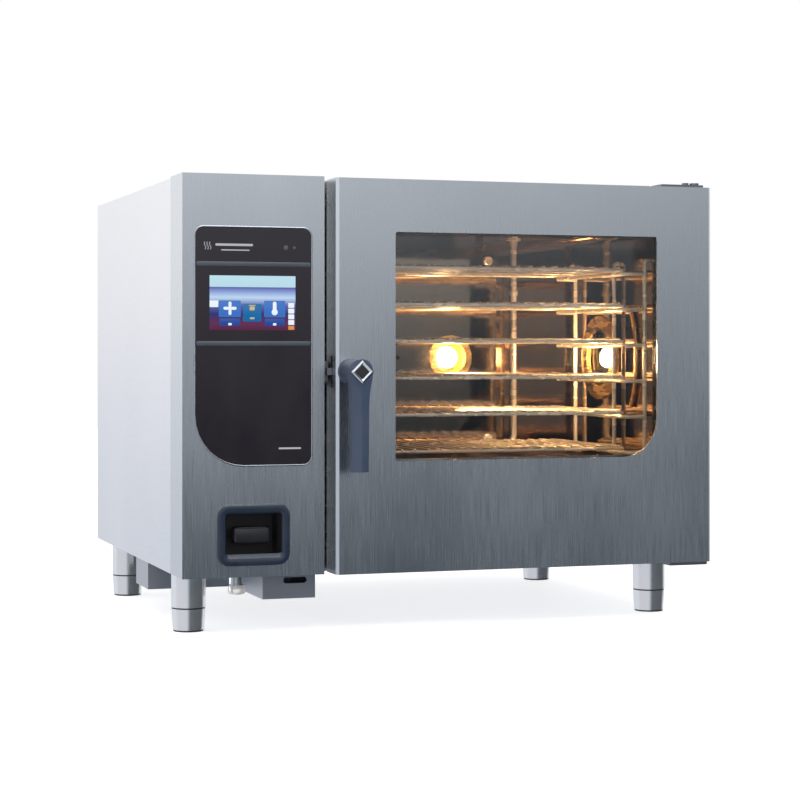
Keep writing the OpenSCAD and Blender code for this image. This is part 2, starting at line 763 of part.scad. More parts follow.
// Overflow stub below the tray, and the chamber's drain to the spigot at the back
module drain_pipe()
    cabinet() color("lightsteelblue") {
        difference() {
            rod_z(recess_x, stub_y, stub_z, stub_r, leg_h - stub_z + 12);
            rod_z(recess_x, stub_y, stub_z - eps, stub_r - 1.8, leg_h - stub_z + 12 + 2 * eps);
        }
        difference() {
            union() {
                rod_z(drain_x, drain_y, drain_z, drain_r, cavity_z0 - liner_t - drain_z);
                rod_y(drain_x, drain_y, drain_z, drain_r - 1, body_d + groove + eps - drain_y);
                rod_y(drain_x, body_d + groove, drain_z, drain_r, stub_len - groove);
                translate([drain_x, drain_y, drain_z]) sphere(drain_r);
            }
            rod_z(drain_x, drain_y, drain_z, drain_r - 2, cavity_z0 - drain_z);
            rod_y(drain_x, drain_y, drain_z, drain_r - 2.5, body_d + stub_len - drain_y + eps);
        }
    }

module filter_box()
    cabinet() color("silver") difference() {
        translate([filter_x, filter_y, box_z]) cube([filter_w, filter_l, leg_h - box_z]);
        translate([filter_x + sheet, filter_y + sheet, box_z + sheet])
            cube([filter_w - 2 * sheet, filter_l - 2 * sheet, leg_h - box_z]);
    }

// Two threaded stubs, each with a nut inside the rear panel and a groove where the thread ends
module water_inlets()
    cabinet() color("goldenrod")
        for (x = inlet_xs)
            difference() {
                union() {
                    translate([x, rear_y - 12, inlet_z]) rotate([-90, 0, 0])
                        cylinder(h = 12, r = inlet_r + 4.8, $fn = 6);
                    rod_y(x, rear_y - eps, inlet_z, inlet_r - 0.7, sheet + groove + 2 * eps);
                    rod_y(x, body_d + groove, inlet_z, inlet_r, stub_len - groove);
                }
                rod_y(x, rear_y - 12 - eps, inlet_z, inlet_r - 4.2, sheet + stub_len + 12 + 2 * eps);
            }

// Exhaust pipe from the chamber's roof through the top cover, wider above the cover
module vent_stack()
    cabinet() color("silver") difference() {
        union() {
            rod_z(vent_x, vent_y, cavity_z1 + liner_t, drain_r - 1,
                cover_z + groove + eps - cavity_z1 - liner_t);
            rod_z(vent_x, vent_y, cover_z + groove, drain_r, body_h + vent_len - cover_z - groove);
        }
        rod_z(vent_x, vent_y, cavity_z1, drain_r - 3, body_h + vent_len - cavity_z1 + eps);
    }

module cable_gland()
    cabinet() color([0.15, 0.15, 0.16]) difference() {
        union() {
            rod_y(gland_x, rear_y - 14, gland_z, gland_r, 14 + sheet + eps);
            rod_y(gland_x, body_d, gland_z, 17, 8);
            rod_y(gland_x, body_d + 7, gland_z, 14, 15);
        }
        rod_y(gland_x, rear_y - 15, gland_z, 9, 60);
    }

// Four sleeves, each with the dark ring at its lower end
module foot_sleeves()
    cabinet() color("whitesmoke")
        for (p = feet)
            difference() {
                union() {
                    rod_z(p[0], p[1], foot_split, foot_r, leg_h - foot_split);
                    rod_z(p[0], p[1], foot_split - 2.3, foot_r - 0.7, 3);
                }
                rod_z(p[0], p[1], foot_split - 3, foot_r - 3.5, leg_h - 12 - foot_split);
                rod_z(p[0], p[1], foot_split, stem_r + run_c, leg_h);
            }

// Screw-out cup of one foot: rubber pad, tapered cup and stem
module foot_cup(i) {
    p = feet[i - 1];
    cup_top = foot_split - 2.6;
    cabinet() color("whitesmoke") {
        rod_z(p[0], p[1], 0, foot_r - 3.5, 3);
        translate([p[0], p[1], 3]) cylinder(h = cup_top - 3, r1 = foot_r - 2.7, r2 = foot_r - 0.5);
        rod_z(p[0], p[1], cup_top - 1, stem_r, leg_h + 20 - cup_top);
    }
}

// Door ---------------------------------------------------------------------------------------------

// Plan of the door's folded skin, set in by c
function door_plan(c) = [
    [door_x0 + c, door_back + c], [door_x0 + c, door_front + door_bevel + 0.4 * c],
    [door_x0 + door_bevel + 0.4 * c, door_front + c],
    [door_x1 - door_bevel - 0.4 * c, door_front + c],
    [door_x1 - c, door_front + door_bevel + 0.4 * c], [door_x1 - c, door_back + c]];

module door_skin()
    cabinet() color("silver") difference() {
        level(door_z0, door_z1 - door_z0) polygon(door_plan(0));
        level(door_z0 + sheet, door_z1 - door_z0 - 2 * sheet) polygon(door_plan(sheet));
        upright(door_front - eps, sheet + 2 * eps) window(0);
        rod_y(handle_x, door_front - eps, handle_z, shaft_out + run_c, sheet + 2 * eps);
        translate([door_x0 - eps, cam_y - 2, handle_z - 27]) cube([sheet + 2 * eps, cam_t + 4, 54]);
        rod_z(hinge_x, 0, door_z0 - eps, bush_r, sheet + 2 * eps);
        rod_z(hinge_x, 0, door_z1 - sheet - eps, bush_r, sheet + 2 * eps);
    }

// Inner panel with the pocket that the inner pane lies in
module door_inner()
    cabinet() color("lightgray") difference() {
        union() {
            upright(door_back - 2, 2) translate([door_x0 + sheet, door_z0 + sheet])
                square([door_x1 - door_x0 - 2 * sheet, door_z1 - door_z0 - 2 * sheet]);
            upright(door_back - pocket_d, pocket_d) pocket(4);
        }
        upright(door_back - pocket_d - eps, pocket_d + 2 * eps)
            plate(window_x0 + 1, window_z0 + 1, window_w - 1 + lip_right, window_h - 2, [4, 4, 4, 4]);
        upright(door_back - pocket_d + 2, pocket_d) pocket(0);
        for (z = [window_z0 - pocket_grow - 5, window_z1 + pocket_grow - eps])
            rod_z(pivot_x, pane_y + pane_t / 2 - 1, z, pivot_pin + run_c, 5 + eps);
    }

module outer_glass()
    cabinet() color([0.75, 0.80, 0.82, 0.35]) upright(door_front + sheet, glass_t)
        plate(window_x0 - 18, window_z0 - 18, window_w + 36, window_h + 36, [4, 4, 4, 4]);

// Inner pane with the round rail and the pins that it swings out on
module inner_glass()
    cabinet() color([0.75, 0.80, 0.82, 0.35]) {
        low = window_z0 - pocket_grow + pane_c;
        tall = window_h + 2 * (pocket_grow - pane_c);
        left = window_x0 - pocket_grow + pane_c;
        mid_y = pane_y + pane_t / 2 - 1;
        translate([left, mid_y - pane_t / 2, low]) cube([pivot_x - left, pane_t, tall]);
        rod_z(pivot_x, mid_y, low, pivot_r, tall);
        rod_z(pivot_x, mid_y, low - 5, pivot_pin, tall + 10);
    }

// Bushes in the door's top and bottom folds
module hinge_bushes()
    cabinet() color("goldenrod")
        for (z = [door_z0, door_z1 - bush_len])
            difference() {
                rod_z(hinge_x, 0, z, bush_r, bush_len);
                rod_z(hinge_x, 0, z - eps, pin_r + run_c, bush_len + 2 * eps);
            }

// Top bracket on the cover and bottom bracket on the frame, each with its pin
module hinge_brackets()
    cabinet() color("dimgray") {
        top_z = door_z1 + plate_lift;
        translate([hinge_x - 71, -13, top_z]) cube([84, 113, 4]);
        translate([hinge_x - 71, face_y + 2, cover_z]) cube([84, 98 - face_y, top_z + 1 - cover_z]);
        rod_z(hinge_x + 1, 0, top_z + 3, 8.5, 5);
        translate([hinge_x - 17, 0, top_z + 3]) cylinder(h = 5, r = 7, $fn = 6);
        rod_z(hinge_x, 0, top_z - bush_len, pin_r, bush_len + 1);
        translate([hinge_x - 55, -14, leg_h - 5.5]) cube([75, face_y + 14, 5]);
        translate([hinge_x - 55, face_y - 3.5, leg_h - 5.5]) cube([75, 3.5, 45]);
        rod_z(hinge_x, 0, leg_h - 1.5, pin_r, bush_len - 2);
    }

// Catch on the side of the control column, behind the cam's tip
module latch_keeper()
    cabinet() color("silver") {
        translate([column_w, cam_y + cam_t + 6, handle_z - 18]) cube([13, 8, 36]);
        translate([column_w, cam_y + cam_t + 6, handle_z - 30]) cube([2, 18, 60]);
    }

// Handle -------------------------------------------------------------------------------------------

// Lever: round neck, round head and a blade with two front facets that ends in a flat cut
module handle_grip()
    cabinet() color([0.16, 0.20, 0.28]) {
        rod_y(handle_x, grip_back - 5, handle_z, neck_r, door_front - 0.5 - grip_back + 5);
        hull() {
            rod_y(handle_x, grip_front, handle_z, 21, grip_back - grip_front, $fn = 32);
            translate([handle_x, 0, handle_z - blade_top]) blade(lever_w);
        }
        hull() {
            translate([handle_x, 0, handle_z - blade_top]) blade(lever_w);
            translate([handle_x, 0, handle_z - lever_len]) blade(lever_w - 2);
        }
    }

// Cross section of the lever: flat back, two front facets, small chamfers at the back
module blade(w)
    linear_extrude(0.5) polygon([
        [-w / 2, grip_front + 11], [0, grip_front], [w / 2, grip_front + 11],
        [w / 2, grip_back - 4], [w / 2 - 4, grip_back], [4 - w / 2, grip_back],
        [-w / 2, grip_back - 4]]);

// Bright diamond frame on the handle's head
module handle_badge()
    cabinet() color("gainsboro") upright(grip_front - badge_t, badge_t)
        translate([handle_x, handle_z]) difference() {
            rotate(45) square(badge_w / sqrt(2), center = true);
            rotate(45) square((badge_w - 12) / sqrt(2), center = true);
        }

// Shaft through the door's skin, with the cam at its inner end
module handle_shaft()
    cabinet() color("silver") {
        rod_y(handle_x, door_front - 0.5, handle_z, shaft_out, cam_y + cam_t + 0.5 - door_front);
        translate([handle_x - cam_len, cam_y, handle_z - 6]) cube([cam_len, cam_t, 12]);
        rod_y(handle_x, cam_y, handle_z, 12, cam_t);
    }

base_tray();
base_rails();
left_side_panel();
right_side_panel();
rear_panel();
top_cover();
control_fascia();
partition_wall();
face_frame();
cavity_liner();
insulation_slabs();
door_seal();
fan_baffle();
rack_left();
rack_right();
heating_coil();
fan_motor();
steam_generator();
steam_pipe();
lamp_bezels();
lamp_glasses();
control_glass();
control_trim();
panel_ribs();
touch_display();
control_board();
contactor_rail();
shower_bezel();
shower_cup();
drain_box();
drain_pipe();
filter_box();
water_inlets();
vent_stack();
cable_gland();
foot_sleeves();
hinge_brackets();
latch_keeper();
shower_head();
hose_reel();
fan_wheel();
fan_shaft();
door_skin();
door_inner();
outer_glass();
hinge_bushes();
inner_glass();
handle_grip();
handle_badge();
handle_shaft();
shelf(1);  // shelf_1
shelf(2);  // shelf_2
shelf(3);  // shelf_3
shelf(4);  // shelf_4
shelf(5);  // shelf_5
shelf(6);  // shelf_6
foot_cup(1);  // foot_cup_1
foot_cup(2);  // foot_cup_2
foot_cup(3);  // foot_cup_3
foot_cup(4);  // foot_cup_4
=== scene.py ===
# %% [markdown]
# # A combi steamer oven, finished piece by piece
# The oven arrives as a fixed frame of folded steel, glass, wire and plastic parts. This lesson
# keeps every part where it is and gives it the surface of the real thing. Where a plain solid
# only holds the place of something softer in shape, such as a moulded border or a wire shelf,
# a finer mesh takes over from it.

# %% Load the frame and keep its box
import json
import math

import bmesh
import bpy
from mathutils import Matrix, Vector


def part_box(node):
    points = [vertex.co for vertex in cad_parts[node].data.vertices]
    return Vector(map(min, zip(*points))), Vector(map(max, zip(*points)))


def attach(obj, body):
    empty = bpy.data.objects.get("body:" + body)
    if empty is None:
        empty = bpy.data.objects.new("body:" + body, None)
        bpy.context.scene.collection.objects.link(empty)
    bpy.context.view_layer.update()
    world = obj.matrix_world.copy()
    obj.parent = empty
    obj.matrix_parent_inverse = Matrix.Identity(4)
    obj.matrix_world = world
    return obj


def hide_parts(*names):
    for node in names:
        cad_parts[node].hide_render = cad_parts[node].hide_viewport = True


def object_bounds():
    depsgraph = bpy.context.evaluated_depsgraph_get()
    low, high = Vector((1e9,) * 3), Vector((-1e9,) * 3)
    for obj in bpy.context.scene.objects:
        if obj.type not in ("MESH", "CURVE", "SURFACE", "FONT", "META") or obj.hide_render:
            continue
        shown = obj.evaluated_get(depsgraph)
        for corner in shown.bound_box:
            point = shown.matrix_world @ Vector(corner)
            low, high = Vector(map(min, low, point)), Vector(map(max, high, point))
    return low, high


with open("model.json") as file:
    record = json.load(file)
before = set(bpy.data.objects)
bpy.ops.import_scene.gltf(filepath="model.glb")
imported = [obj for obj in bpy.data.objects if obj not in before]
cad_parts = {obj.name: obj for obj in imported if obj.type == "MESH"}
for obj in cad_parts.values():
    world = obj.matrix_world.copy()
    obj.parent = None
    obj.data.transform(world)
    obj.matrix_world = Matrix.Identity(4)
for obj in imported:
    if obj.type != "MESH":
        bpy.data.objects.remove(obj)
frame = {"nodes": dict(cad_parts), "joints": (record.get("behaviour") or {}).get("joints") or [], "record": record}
cad_low, cad_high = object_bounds()
print("frame box", [round(v, 3) for v in cad_low], [round(v, 3) for v in cad_high])

# %% [markdown]
# ## The view
# A catalogue view is taken from far away with a long lens, so that upright edges stay upright.
# The camera stands in front and a little to the left, with its eye at about half the oven's
# height. A small lens shift frames the oven without tilting the camera.

# %% Camera
camera_data = bpy.data.cameras.new("catalogue_camera")
camera_data.sensor_width = 36.0
camera_data.lens = 91.71
camera_data.shift_y = -0.0683
camera = bpy.data.objects.new("catalogue_camera", camera_data)
camera.location = (-1.2405, -3.7651, 0.4866)
camera.rotation_euler = (math.radians(90.166), 0.0, math.radians(-18.519))
bpy.context.scene.collection.objects.link(camera)
bpy.context.scene.camera = camera
print("camera distance", round((camera.location - (cad_low + cad_high) / 2).length, 2), "m")

# %% [markdown]
# ## Light for brushed steel
# Brushed steel shows the room more than its own colour. The front should fade from light at the
# top to slate at the bottom, so the room is white above eye level and dark below it, as it is
# with a big ceiling light over a dark floor. It is also darker towards the right. Behind the oven
# the room is nearly white, which whitens the side panel where it is seen at a flat angle.

# %% World
WHITE = (1.0, 1.0, 1.0, 1.0)
LOW_ROOM = (0.055, 0.076, 0.098, 1.0)
HIGH_ROOM = (1.06, 1.08, 1.12, 1.0)
LOW_FAR = (0.040, 0.050, 0.060, 1.0)
HIGH_FAR = (0.52, 0.54, 0.58, 1.0)
LOW_LEFT = (0.58, 0.60, 0.66, 1.0)
LOW_BACK = (0.68, 0.71, 0.78, 1.0)
world = bpy.data.worlds.new("studio")
world.use_nodes = True
bpy.context.scene.world = world
world_tree = world.node_tree
world_tree.nodes.clear()


def world_node(kind, **settings):
    """Adds a node to the world and sets its plain properties."""
    made = world_tree.nodes.new(kind)
    for key, value in settings.items():
        setattr(made, key, value)
    return made


def world_blend(low, high, value, a, b):
    """Smooth blend from colour a to colour b while value runs from low to high."""
    span = world_node("ShaderNodeMapRange", interpolation_type="SMOOTHSTEP")
    span.inputs["From Min"].default_value = low
    span.inputs["From Max"].default_value = high
    world_tree.links.new(value, span.inputs["Value"])
    mix = world_node("ShaderNodeMix", data_type="RGBA")
    world_tree.links.new(span.outputs["Result"], mix.inputs["Factor"])
    for colour, socket in ((a, mix.inputs["A"]), (b, mix.inputs["B"])):
        if isinstance(colour, tuple):
            socket.default_value = colour
        else:
            world_tree.links.new(colour, socket)
    return mix.outputs["Result"]


print("world colours", [round(c, 3) for c in LOW_ROOM[:3]], "to", HIGH_ROOM[:3])

# %% [markdown]
# Three blends place the colours: by Z from dark floor to bright ceiling, by X towards the sides,
# and by Y to the nearly white room behind. The camera itself sees plain white.

# %% The room by direction
direction = world_node("ShaderNodeTexCoord")
split = world_node("ShaderNodeSeparateXYZ")
world_tree.links.new(direction.outputs["Generated"], split.inputs["Vector"])
low_right = world_blend(0.10, 0.60, split.outputs["X"], LOW_ROOM, LOW_FAR)
low_room = world_blend(-0.45, 0.05, split.outputs["X"], LOW_LEFT, low_right)
high_room = world_blend(0.10, 0.60, split.outputs["X"], HIGH_ROOM, HIGH_FAR)
front_room = world_blend(-0.06, 0.12, split.outputs["Z"], low_room, high_room)
back_room = world_blend(-0.10, 0.08, split.outputs["Z"], LOW_BACK, WHITE)
whole_room = world_blend(-0.05, 0.45, split.outputs["Y"], front_room, back_room)
seen = world_node("ShaderNodeLightPath")
shown = world_node("ShaderNodeMix", data_type="RGBA")
shown.inputs["B"].default_value = WHITE
world_tree.links.new(seen.outputs["Is Camera Ray"], shown.inputs["Factor"])
world_tree.links.new(whole_room, shown.inputs["A"])
background = world_node("ShaderNodeBackground")
background.inputs["Strength"].default_value = 1.0
world_tree.links.new(shown.outputs["Result"], background.inputs["Color"])
world_out = world_node("ShaderNodeOutputWorld")
world_tree.links.new(background.outputs["Background"], world_out.inputs["Surface"])
bpy.context.scene.view_settings.view_transform = "Standard"
print("world nodes", len(world_tree.nodes))

# %% [markdown]
# ## Studio lights
# The room alone would leave plastics and wires dull. A large soft box above the front lights
# them, a smaller one at the left rear lifts the side panel, and a narrow spot reaches through the
# window to the shelves. The spot is kept out of reflections, or it would glare on the door.

# %% Lights
def studio_light(name, kind, place, target, power, **settings):
    """Adds one light of a kind, aimed at a point."""
    data = bpy.data.lights.new(name, kind)
    data.energy = power
    for key, value in settings.items():
        setattr(data, key, value)
    light = bpy.data.objects.new(name, data)
    light.location = place
    light.rotation_euler = (Vector(target) - Vector(place)).to_track_quat("-Z", "Y").to_euler()
    bpy.context.scene.collection.objects.link(light)
    return light


middle = (cad_low + cad_high) / 2
window_low, window_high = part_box("inner_glass")
window_mid = (window_low + window_high) / 2
top_box = studio_light("top_box", "AREA", (0.2, -1.6, 2.9), middle, 42,
                       shape="RECTANGLE", size=2.6, size_y=1.6)
left_box = studio_light("left_box", "AREA", (-2.8, 1.6, 1.3), middle, 14,
                        shape="RECTANGLE", size=1.8, size_y=2.2)
rail_spot = studio_light("rail_spot", "SPOT", (1.35, -1.9, 1.75), window_mid, 420,
                         spot_size=math.radians(14.0), spot_blend=0.35, shadow_soft_size=0.12)
rail_spot.visible_glossy = False
print("studio lights", top_box.name, left_box.name, rail_spot.name)

# %% [markdown]
# ## Floor
# One pale sheet, large enough to fill the view. It is
# hidden from gloss, or the lower half of the door would turn white.

# %% Floor
floor_mesh = bpy.data.meshes.new("floor")
half = 9.0
floor_mesh.from_pydata(
    [(-half, -half, 0), (half, -half, 0), (half, half, 0), (-half, half, 0)], [], [(0, 1, 2, 3)])
floor = bpy.data.objects.new("floor", floor_mesh)
bpy.context.scene.collection.objects.link(floor)
floor.visible_glossy = False
print("floor", 2 * half, "m across")

# %% [markdown]
# ## A small kit for finishes
# Each finish is one Principled shader fed by noise. The noise is measured in the object's own
# space, in metres, so grain keeps its real size on every piece. Stretching that space along one
# axis turns round noise into brush lines. Values that don't change over the surface are set
# straight on the shader.

# %% Finish helpers
def finish(name, colour, metallic=0.0, rough=0.4, **sockets):
    """Starts a material and returns it with its tree and its shader."""
    made = bpy.data.materials.new(name)
    made.use_nodes = True
    tree = made.node_tree
    shader = tree.nodes["Principled BSDF"]
    shader.inputs["Base Color"].default_value = (*colour, 1.0)
    shader.inputs["Metallic"].default_value = metallic
    shader.inputs["Roughness"].default_value = rough
    for socket, value in sockets.items():
        shader.inputs[socket.replace("_", " ")].default_value = value
    return made, tree, shader


def grain(tree, stretch, scale=1.0, detail=4.0):
    """Noise in object space, its space scaled by stretch, as a value from 0 to 1."""
    place = tree.nodes.new("ShaderNodeTexCoord")
    mapping = tree.nodes.new("ShaderNodeMapping")
    mapping.inputs["Scale"].default_value = stretch
    tree.links.new(place.outputs["Object"], mapping.inputs["Vector"])
    noise = tree.nodes.new("ShaderNodeTexNoise")
    noise.inputs["Scale"].default_value = scale
    noise.inputs["Detail"].default_value = detail
    tree.links.new(mapping.outputs["Vector"], noise.inputs["Vector"])
    return noise.outputs["Fac"]


print("starts of a finish ready")

# %% [markdown]
# Noise mostly stays between 0.3 and 0.7, so a map stretches that part over the range a finish
# needs. The same value can also blend two colours or be shaded by a factor.

# %% Ranges and colours
def spread(tree, value, low, high, start=0.3, stop=0.7):
    """Maps a value onto the range low to high."""
    span = tree.nodes.new("ShaderNodeMapRange")
    span.inputs["From Min"].default_value = start
    span.inputs["From Max"].default_value = stop
    span.inputs["To Min"].default_value = low
    span.inputs["To Max"].default_value = high
    tree.links.new(value, span.inputs["Value"])
    return span.outputs["Result"]


def tint(tree, value, dark, light):
    """Blends two colours by a value."""
    mix = tree.nodes.new("ShaderNodeMix")
    mix.data_type = "RGBA"
    mix.inputs["A"].default_value = (*dark, 1.0)
    mix.inputs["B"].default_value = (*light, 1.0)
    tree.links.new(value, mix.inputs["Factor"])
    return mix.outputs["Result"]


def shade(colour, factor):
    """The same colour, darker or lighter."""
    return tuple(min(1.0, c * factor) for c in colour)


print("shaded grey", shade((0.5, 0.5, 0.5), 0.9))

# %% [markdown]
# Some finishes need sums, tests against a height, or a relief that catches the light.

# %% Sums, height and relief
def arithmetic(tree, operation, first, second):
    """Joins a value to a second value, which is a socket or a plain number."""
    made = tree.nodes.new("ShaderNodeMath")
    made.operation = operation
    tree.links.new(first, made.inputs[0])
    if isinstance(second, float):
        made.inputs[1].default_value = second
    else:
        tree.links.new(second, made.inputs[1])
    return made.outputs["Value"]


def height(tree):
    """How far up a point lies in its object's own space, in metres."""
    place = tree.nodes.new("ShaderNodeTexCoord")
    axes = tree.nodes.new("ShaderNodeSeparateXYZ")
    tree.links.new(place.outputs["Object"], axes.inputs["Vector"])
    return axes.outputs["Z"]


def relief(tree, shader, rise, strength, distance):
    """Raises the surface by a value."""
    bump = tree.nodes.new("ShaderNodeBump")
    bump.inputs["Strength"].default_value = strength
    bump.inputs["Distance"].default_value = distance
    tree.links.new(rise, bump.inputs["Height"])
    tree.links.new(bump.outputs["Normal"], shader.inputs["Normal"])


print("finish kit ready")

# %% [markdown]
# ## Steel
# Casing steel is ground with a belt, so its lines run one way and its gloss spreads across them.
# Two scales of noise make it: fine lines change roughness and relief, and a broad cloud changes
# the gloss a little, as hands and wiping do. The chamber's steel is polished and has a straw
# tint from heat. Its base colour is far darker than the other polished steel: painted shade for
# the inside of the closed chamber.

# %% Steel finishes
SMEAR = 0.05


def brushed_steel(name, colour, rough, lines, relief_depth=0.00003):
    """Ground sheet steel; lines is the stretch that sets the way the grinding runs."""
    made, tree, shader = finish(name, colour, metallic=1.0, rough=rough)
    fine = grain(tree, lines, 1.0, 3.0)
    cloud = grain(tree, (3.2, 3.2, 2.1), 1.0, 3.0)
    both = arithmetic(tree, "ADD", spread(tree, fine, rough - 0.05, rough + 0.05),
                      spread(tree, cloud, -SMEAR, SMEAR))
    tree.links.new(both, shader.inputs["Roughness"])
    tree.links.new(tint(tree, fine, shade(colour, 0.93), shade(colour, 1.06)),
                   shader.inputs["Base Color"])
    relief(tree, shader, fine, 0.35, relief_depth)
    return made


def polished_steel(name, colour, warm, rough, metallic=1.0):
    """Polished sheet or wire with a patchy straw tint; soft-drawn wire is part matt."""
    made, tree, shader = finish(name, colour, metallic=metallic, rough=rough)
    patch = grain(tree, (5.0, 5.0, 5.0), 1.0, 4.0)
    streak = grain(tree, (14.0, 14.0, 60.0), 1.0, 4.0)
    tree.links.new(tint(tree, patch, colour, warm), shader.inputs["Base Color"])
    tree.links.new(spread(tree, streak, rough * 0.6, rough * 1.6), shader.inputs["Roughness"])
    relief(tree, shader, streak, 0.25, 0.0002)
    return made


UPRIGHT_LINES = (1400.0, 1400.0, 12.0)
LEVEL_LINES = (12.0, 1400.0, 1400.0)
materials = {
    "front_steel": brushed_steel("front_steel", (0.635, 0.67, 0.705), 0.25, UPRIGHT_LINES),
    "casing_steel": brushed_steel("casing_steel", (0.80, 0.81, 0.84), 0.33, (12.0, 12.0, 1400.0)),
    # A darker brushed steel: on the boxes under the oven it is painted shade.
    "shaded_steel": brushed_steel("shaded_steel", (0.48, 0.50, 0.54), 0.38, LEVEL_LINES),
    "galvanised": brushed_steel("galvanised", (0.56, 0.58, 0.61), 0.42, (60.0, 60.0, 60.0), 0.0001),
    # The chamber steel's dark base colour is painted shade for the closed chamber.
    "chamber_steel": polished_steel("chamber_steel", (0.30, 0.255, 0.26), (0.46, 0.31, 0.17),
                                    0.055),
    "frame_steel": polished_steel("frame_steel", (0.66, 0.66, 0.65), (0.60, 0.57, 0.52), 0.20),
    "wire_steel": polished_steel("wire_steel", (0.93, 0.92, 0.90), (0.90, 0.84, 0.74), 0.22, 0.5),
    "bright_trim": polished_steel("bright_trim", (0.86, 0.88, 0.91), (0.80, 0.82, 0.86), 0.12),
    "bead_steel": polished_steel("bead_steel", (0.50, 0.51, 0.55), (0.44, 0.46, 0.50), 0.30),
    # lamp_ring is orange-gold as painted light: the bulbs' warm glow is painted into its colour.
    "lamp_ring": polished_steel("lamp_ring", (0.90, 0.62, 0.28), (0.85, 0.50, 0.18), 0.22),
    "inlet_brass": polished_steel("inlet_brass", (0.72, 0.55, 0.27), (0.60, 0.42, 0.20), 0.25),
    "bracket_steel": brushed_steel("bracket_steel", (0.22, 0.23, 0.25), 0.45, (90.0, 90.0, 90.0)),
}
print("steel finishes", sorted(materials))

# %% [markdown]
# ## Chromed feet with a dark joint and pad
# The feet come as one solid each, but three materials meet on them: bright tube, a black ring in
# the joint and a rubber pad below. Height alone tells them apart, so the finish blends by the
# object's own Z.

# %% Foot finish
joint_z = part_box("foot_sleeves")[0].z
joint_h = 0.0023
pad_h = 0.003


def foot_finish():
    """Chrome that turns into black rubber in the joint and at the floor."""
    made, tree, shader = finish("foot_chrome", (0.92, 0.92, 0.91), metallic=1.0, rough=0.12)
    up = height(tree)
    rubber = [arithmetic(tree, "MULTIPLY", arithmetic(tree, "GREATER_THAN", up, low),
                         arithmetic(tree, "LESS_THAN", up, high))
              for low, high in ((-0.05, pad_h), (joint_z, joint_z + joint_h))]
    black = arithmetic(tree, "ADD", *rubber)
    tree.links.new(tint(tree, black, (0.92, 0.92, 0.91), (0.03, 0.03, 0.032)),
                   shader.inputs["Base Color"])
    metal = spread(tree, black, 0.92, 0.0, 0.0, 1.0)
    tree.links.new(metal, shader.inputs["Metallic"])
    scuff = grain(tree, (40.0, 40.0, 220.0), 1.0, 4.0)
    tree.links.new(spread(tree, scuff, 0.08, 0.16), shader.inputs["Roughness"])
    return made


materials["foot_chrome"] = foot_finish()
print("foot joint at", round(joint_z, 4), "m")

# %% [markdown]
# ## Glass
# Window glass is thin and flat, so bending the light through it would only add noise. It is
# made as a clear sheet with a weak mirror on top: Fresnel decides how much of each is seen. The
# control panel is glass printed black from behind, so it is a dark gloss surface with faint dust.

# %% Glass finishes
def clear_glass(name, colour, gloss):
    """Thin clear sheet: see-through, with a Fresnel reflection."""
    made, tree, shader = finish(name, (1.0, 1.0, 1.0), rough=gloss, Transmission_Weight=1.0)
    clear = tree.nodes.new("ShaderNodeBsdfTransparent")
    clear.inputs["Color"].default_value = (*colour, 1.0)
    mirror = tree.nodes.new("ShaderNodeBsdfGlossy")
    mirror.inputs["Color"].default_value = (0.9, 0.93, 0.96, 1.0)
    smear = grain(tree, (9.0, 9.0, 4.0), 1.0, 5.0)
    tree.links.new(spread(tree, smear, gloss, gloss + 0.07), mirror.inputs["Roughness"])
    angle = tree.nodes.new("ShaderNodeFresnel")
    angle.inputs["IOR"].default_value = 1.45
    mix = tree.nodes.new("ShaderNodeMixShader")
    tree.links.new(angle.outputs["Fac"], mix.inputs["Fac"])
    tree.links.new(clear.outputs["BSDF"], mix.inputs[1])
    tree.links.new(mirror.outputs["BSDF"], mix.inputs[2])
    tree.links.new(mix.outputs["Shader"], tree.nodes["Material Output"].inputs["Surface"])
    tree.nodes.remove(shader)
    return made


materials["door_glass"] = clear_glass("door_glass", (0.965, 0.97, 0.965), 0.02)
materials["lamp_glass"] = clear_glass("lamp_glass", (1.0, 0.93, 0.80), 0.05)
print("clear glass ready")


# %% Printed glass
def panel_glass():
    """Black printed glass with a trace of wiping marks."""
    made, tree, shader = finish("panel_glass", (0.013, 0.010, 0.014), rough=0.16,
                                Specular_IOR_Level=0.5)
    wipe = grain(tree, (18.0, 18.0, 7.0), 1.0, 6.0)
    tree.links.new(spread(tree, wipe, 0.13, 0.24), shader.inputs["Roughness"])
    tree.links.new(tint(tree, wipe, (0.010, 0.008, 0.011), (0.015, 0.012, 0.016)),
                   shader.inputs["Base Color"])
    return made


materials["panel_glass"] = panel_glass()
print("glass finishes ready")

# %% [markdown]
# ## Plastics, rubber, wool and paint
# Mouldings have a fine spark-eroded grain, softer parts a broader one. Each takes its own colour
# and gloss; scuffs lighten the colour a little.

# %% Moulded finishes
def moulded(name, colour, rough, pores=1800.0, depth=0.00004, coat=0.0):
    """Moulded plastic or rubber with fine grain and faint scuffs."""
    made, tree, shader = finish(name, colour, rough=rough, Coat_Weight=coat, Coat_Roughness=0.2)
    fine = grain(tree, (pores, pores, pores), 1.0, 2.0)
    scuff = grain(tree, (26.0, 26.0, 26.0), 1.0, 6.0)
    tree.links.new(tint(tree, scuff, shade(colour, 0.85), shade(colour, 1.22)),
                   shader.inputs["Base Color"])
    tree.links.new(spread(tree, scuff, rough - 0.06, rough + 0.08), shader.inputs["Roughness"])
    relief(tree, shader, fine, 0.4, depth)
    return made


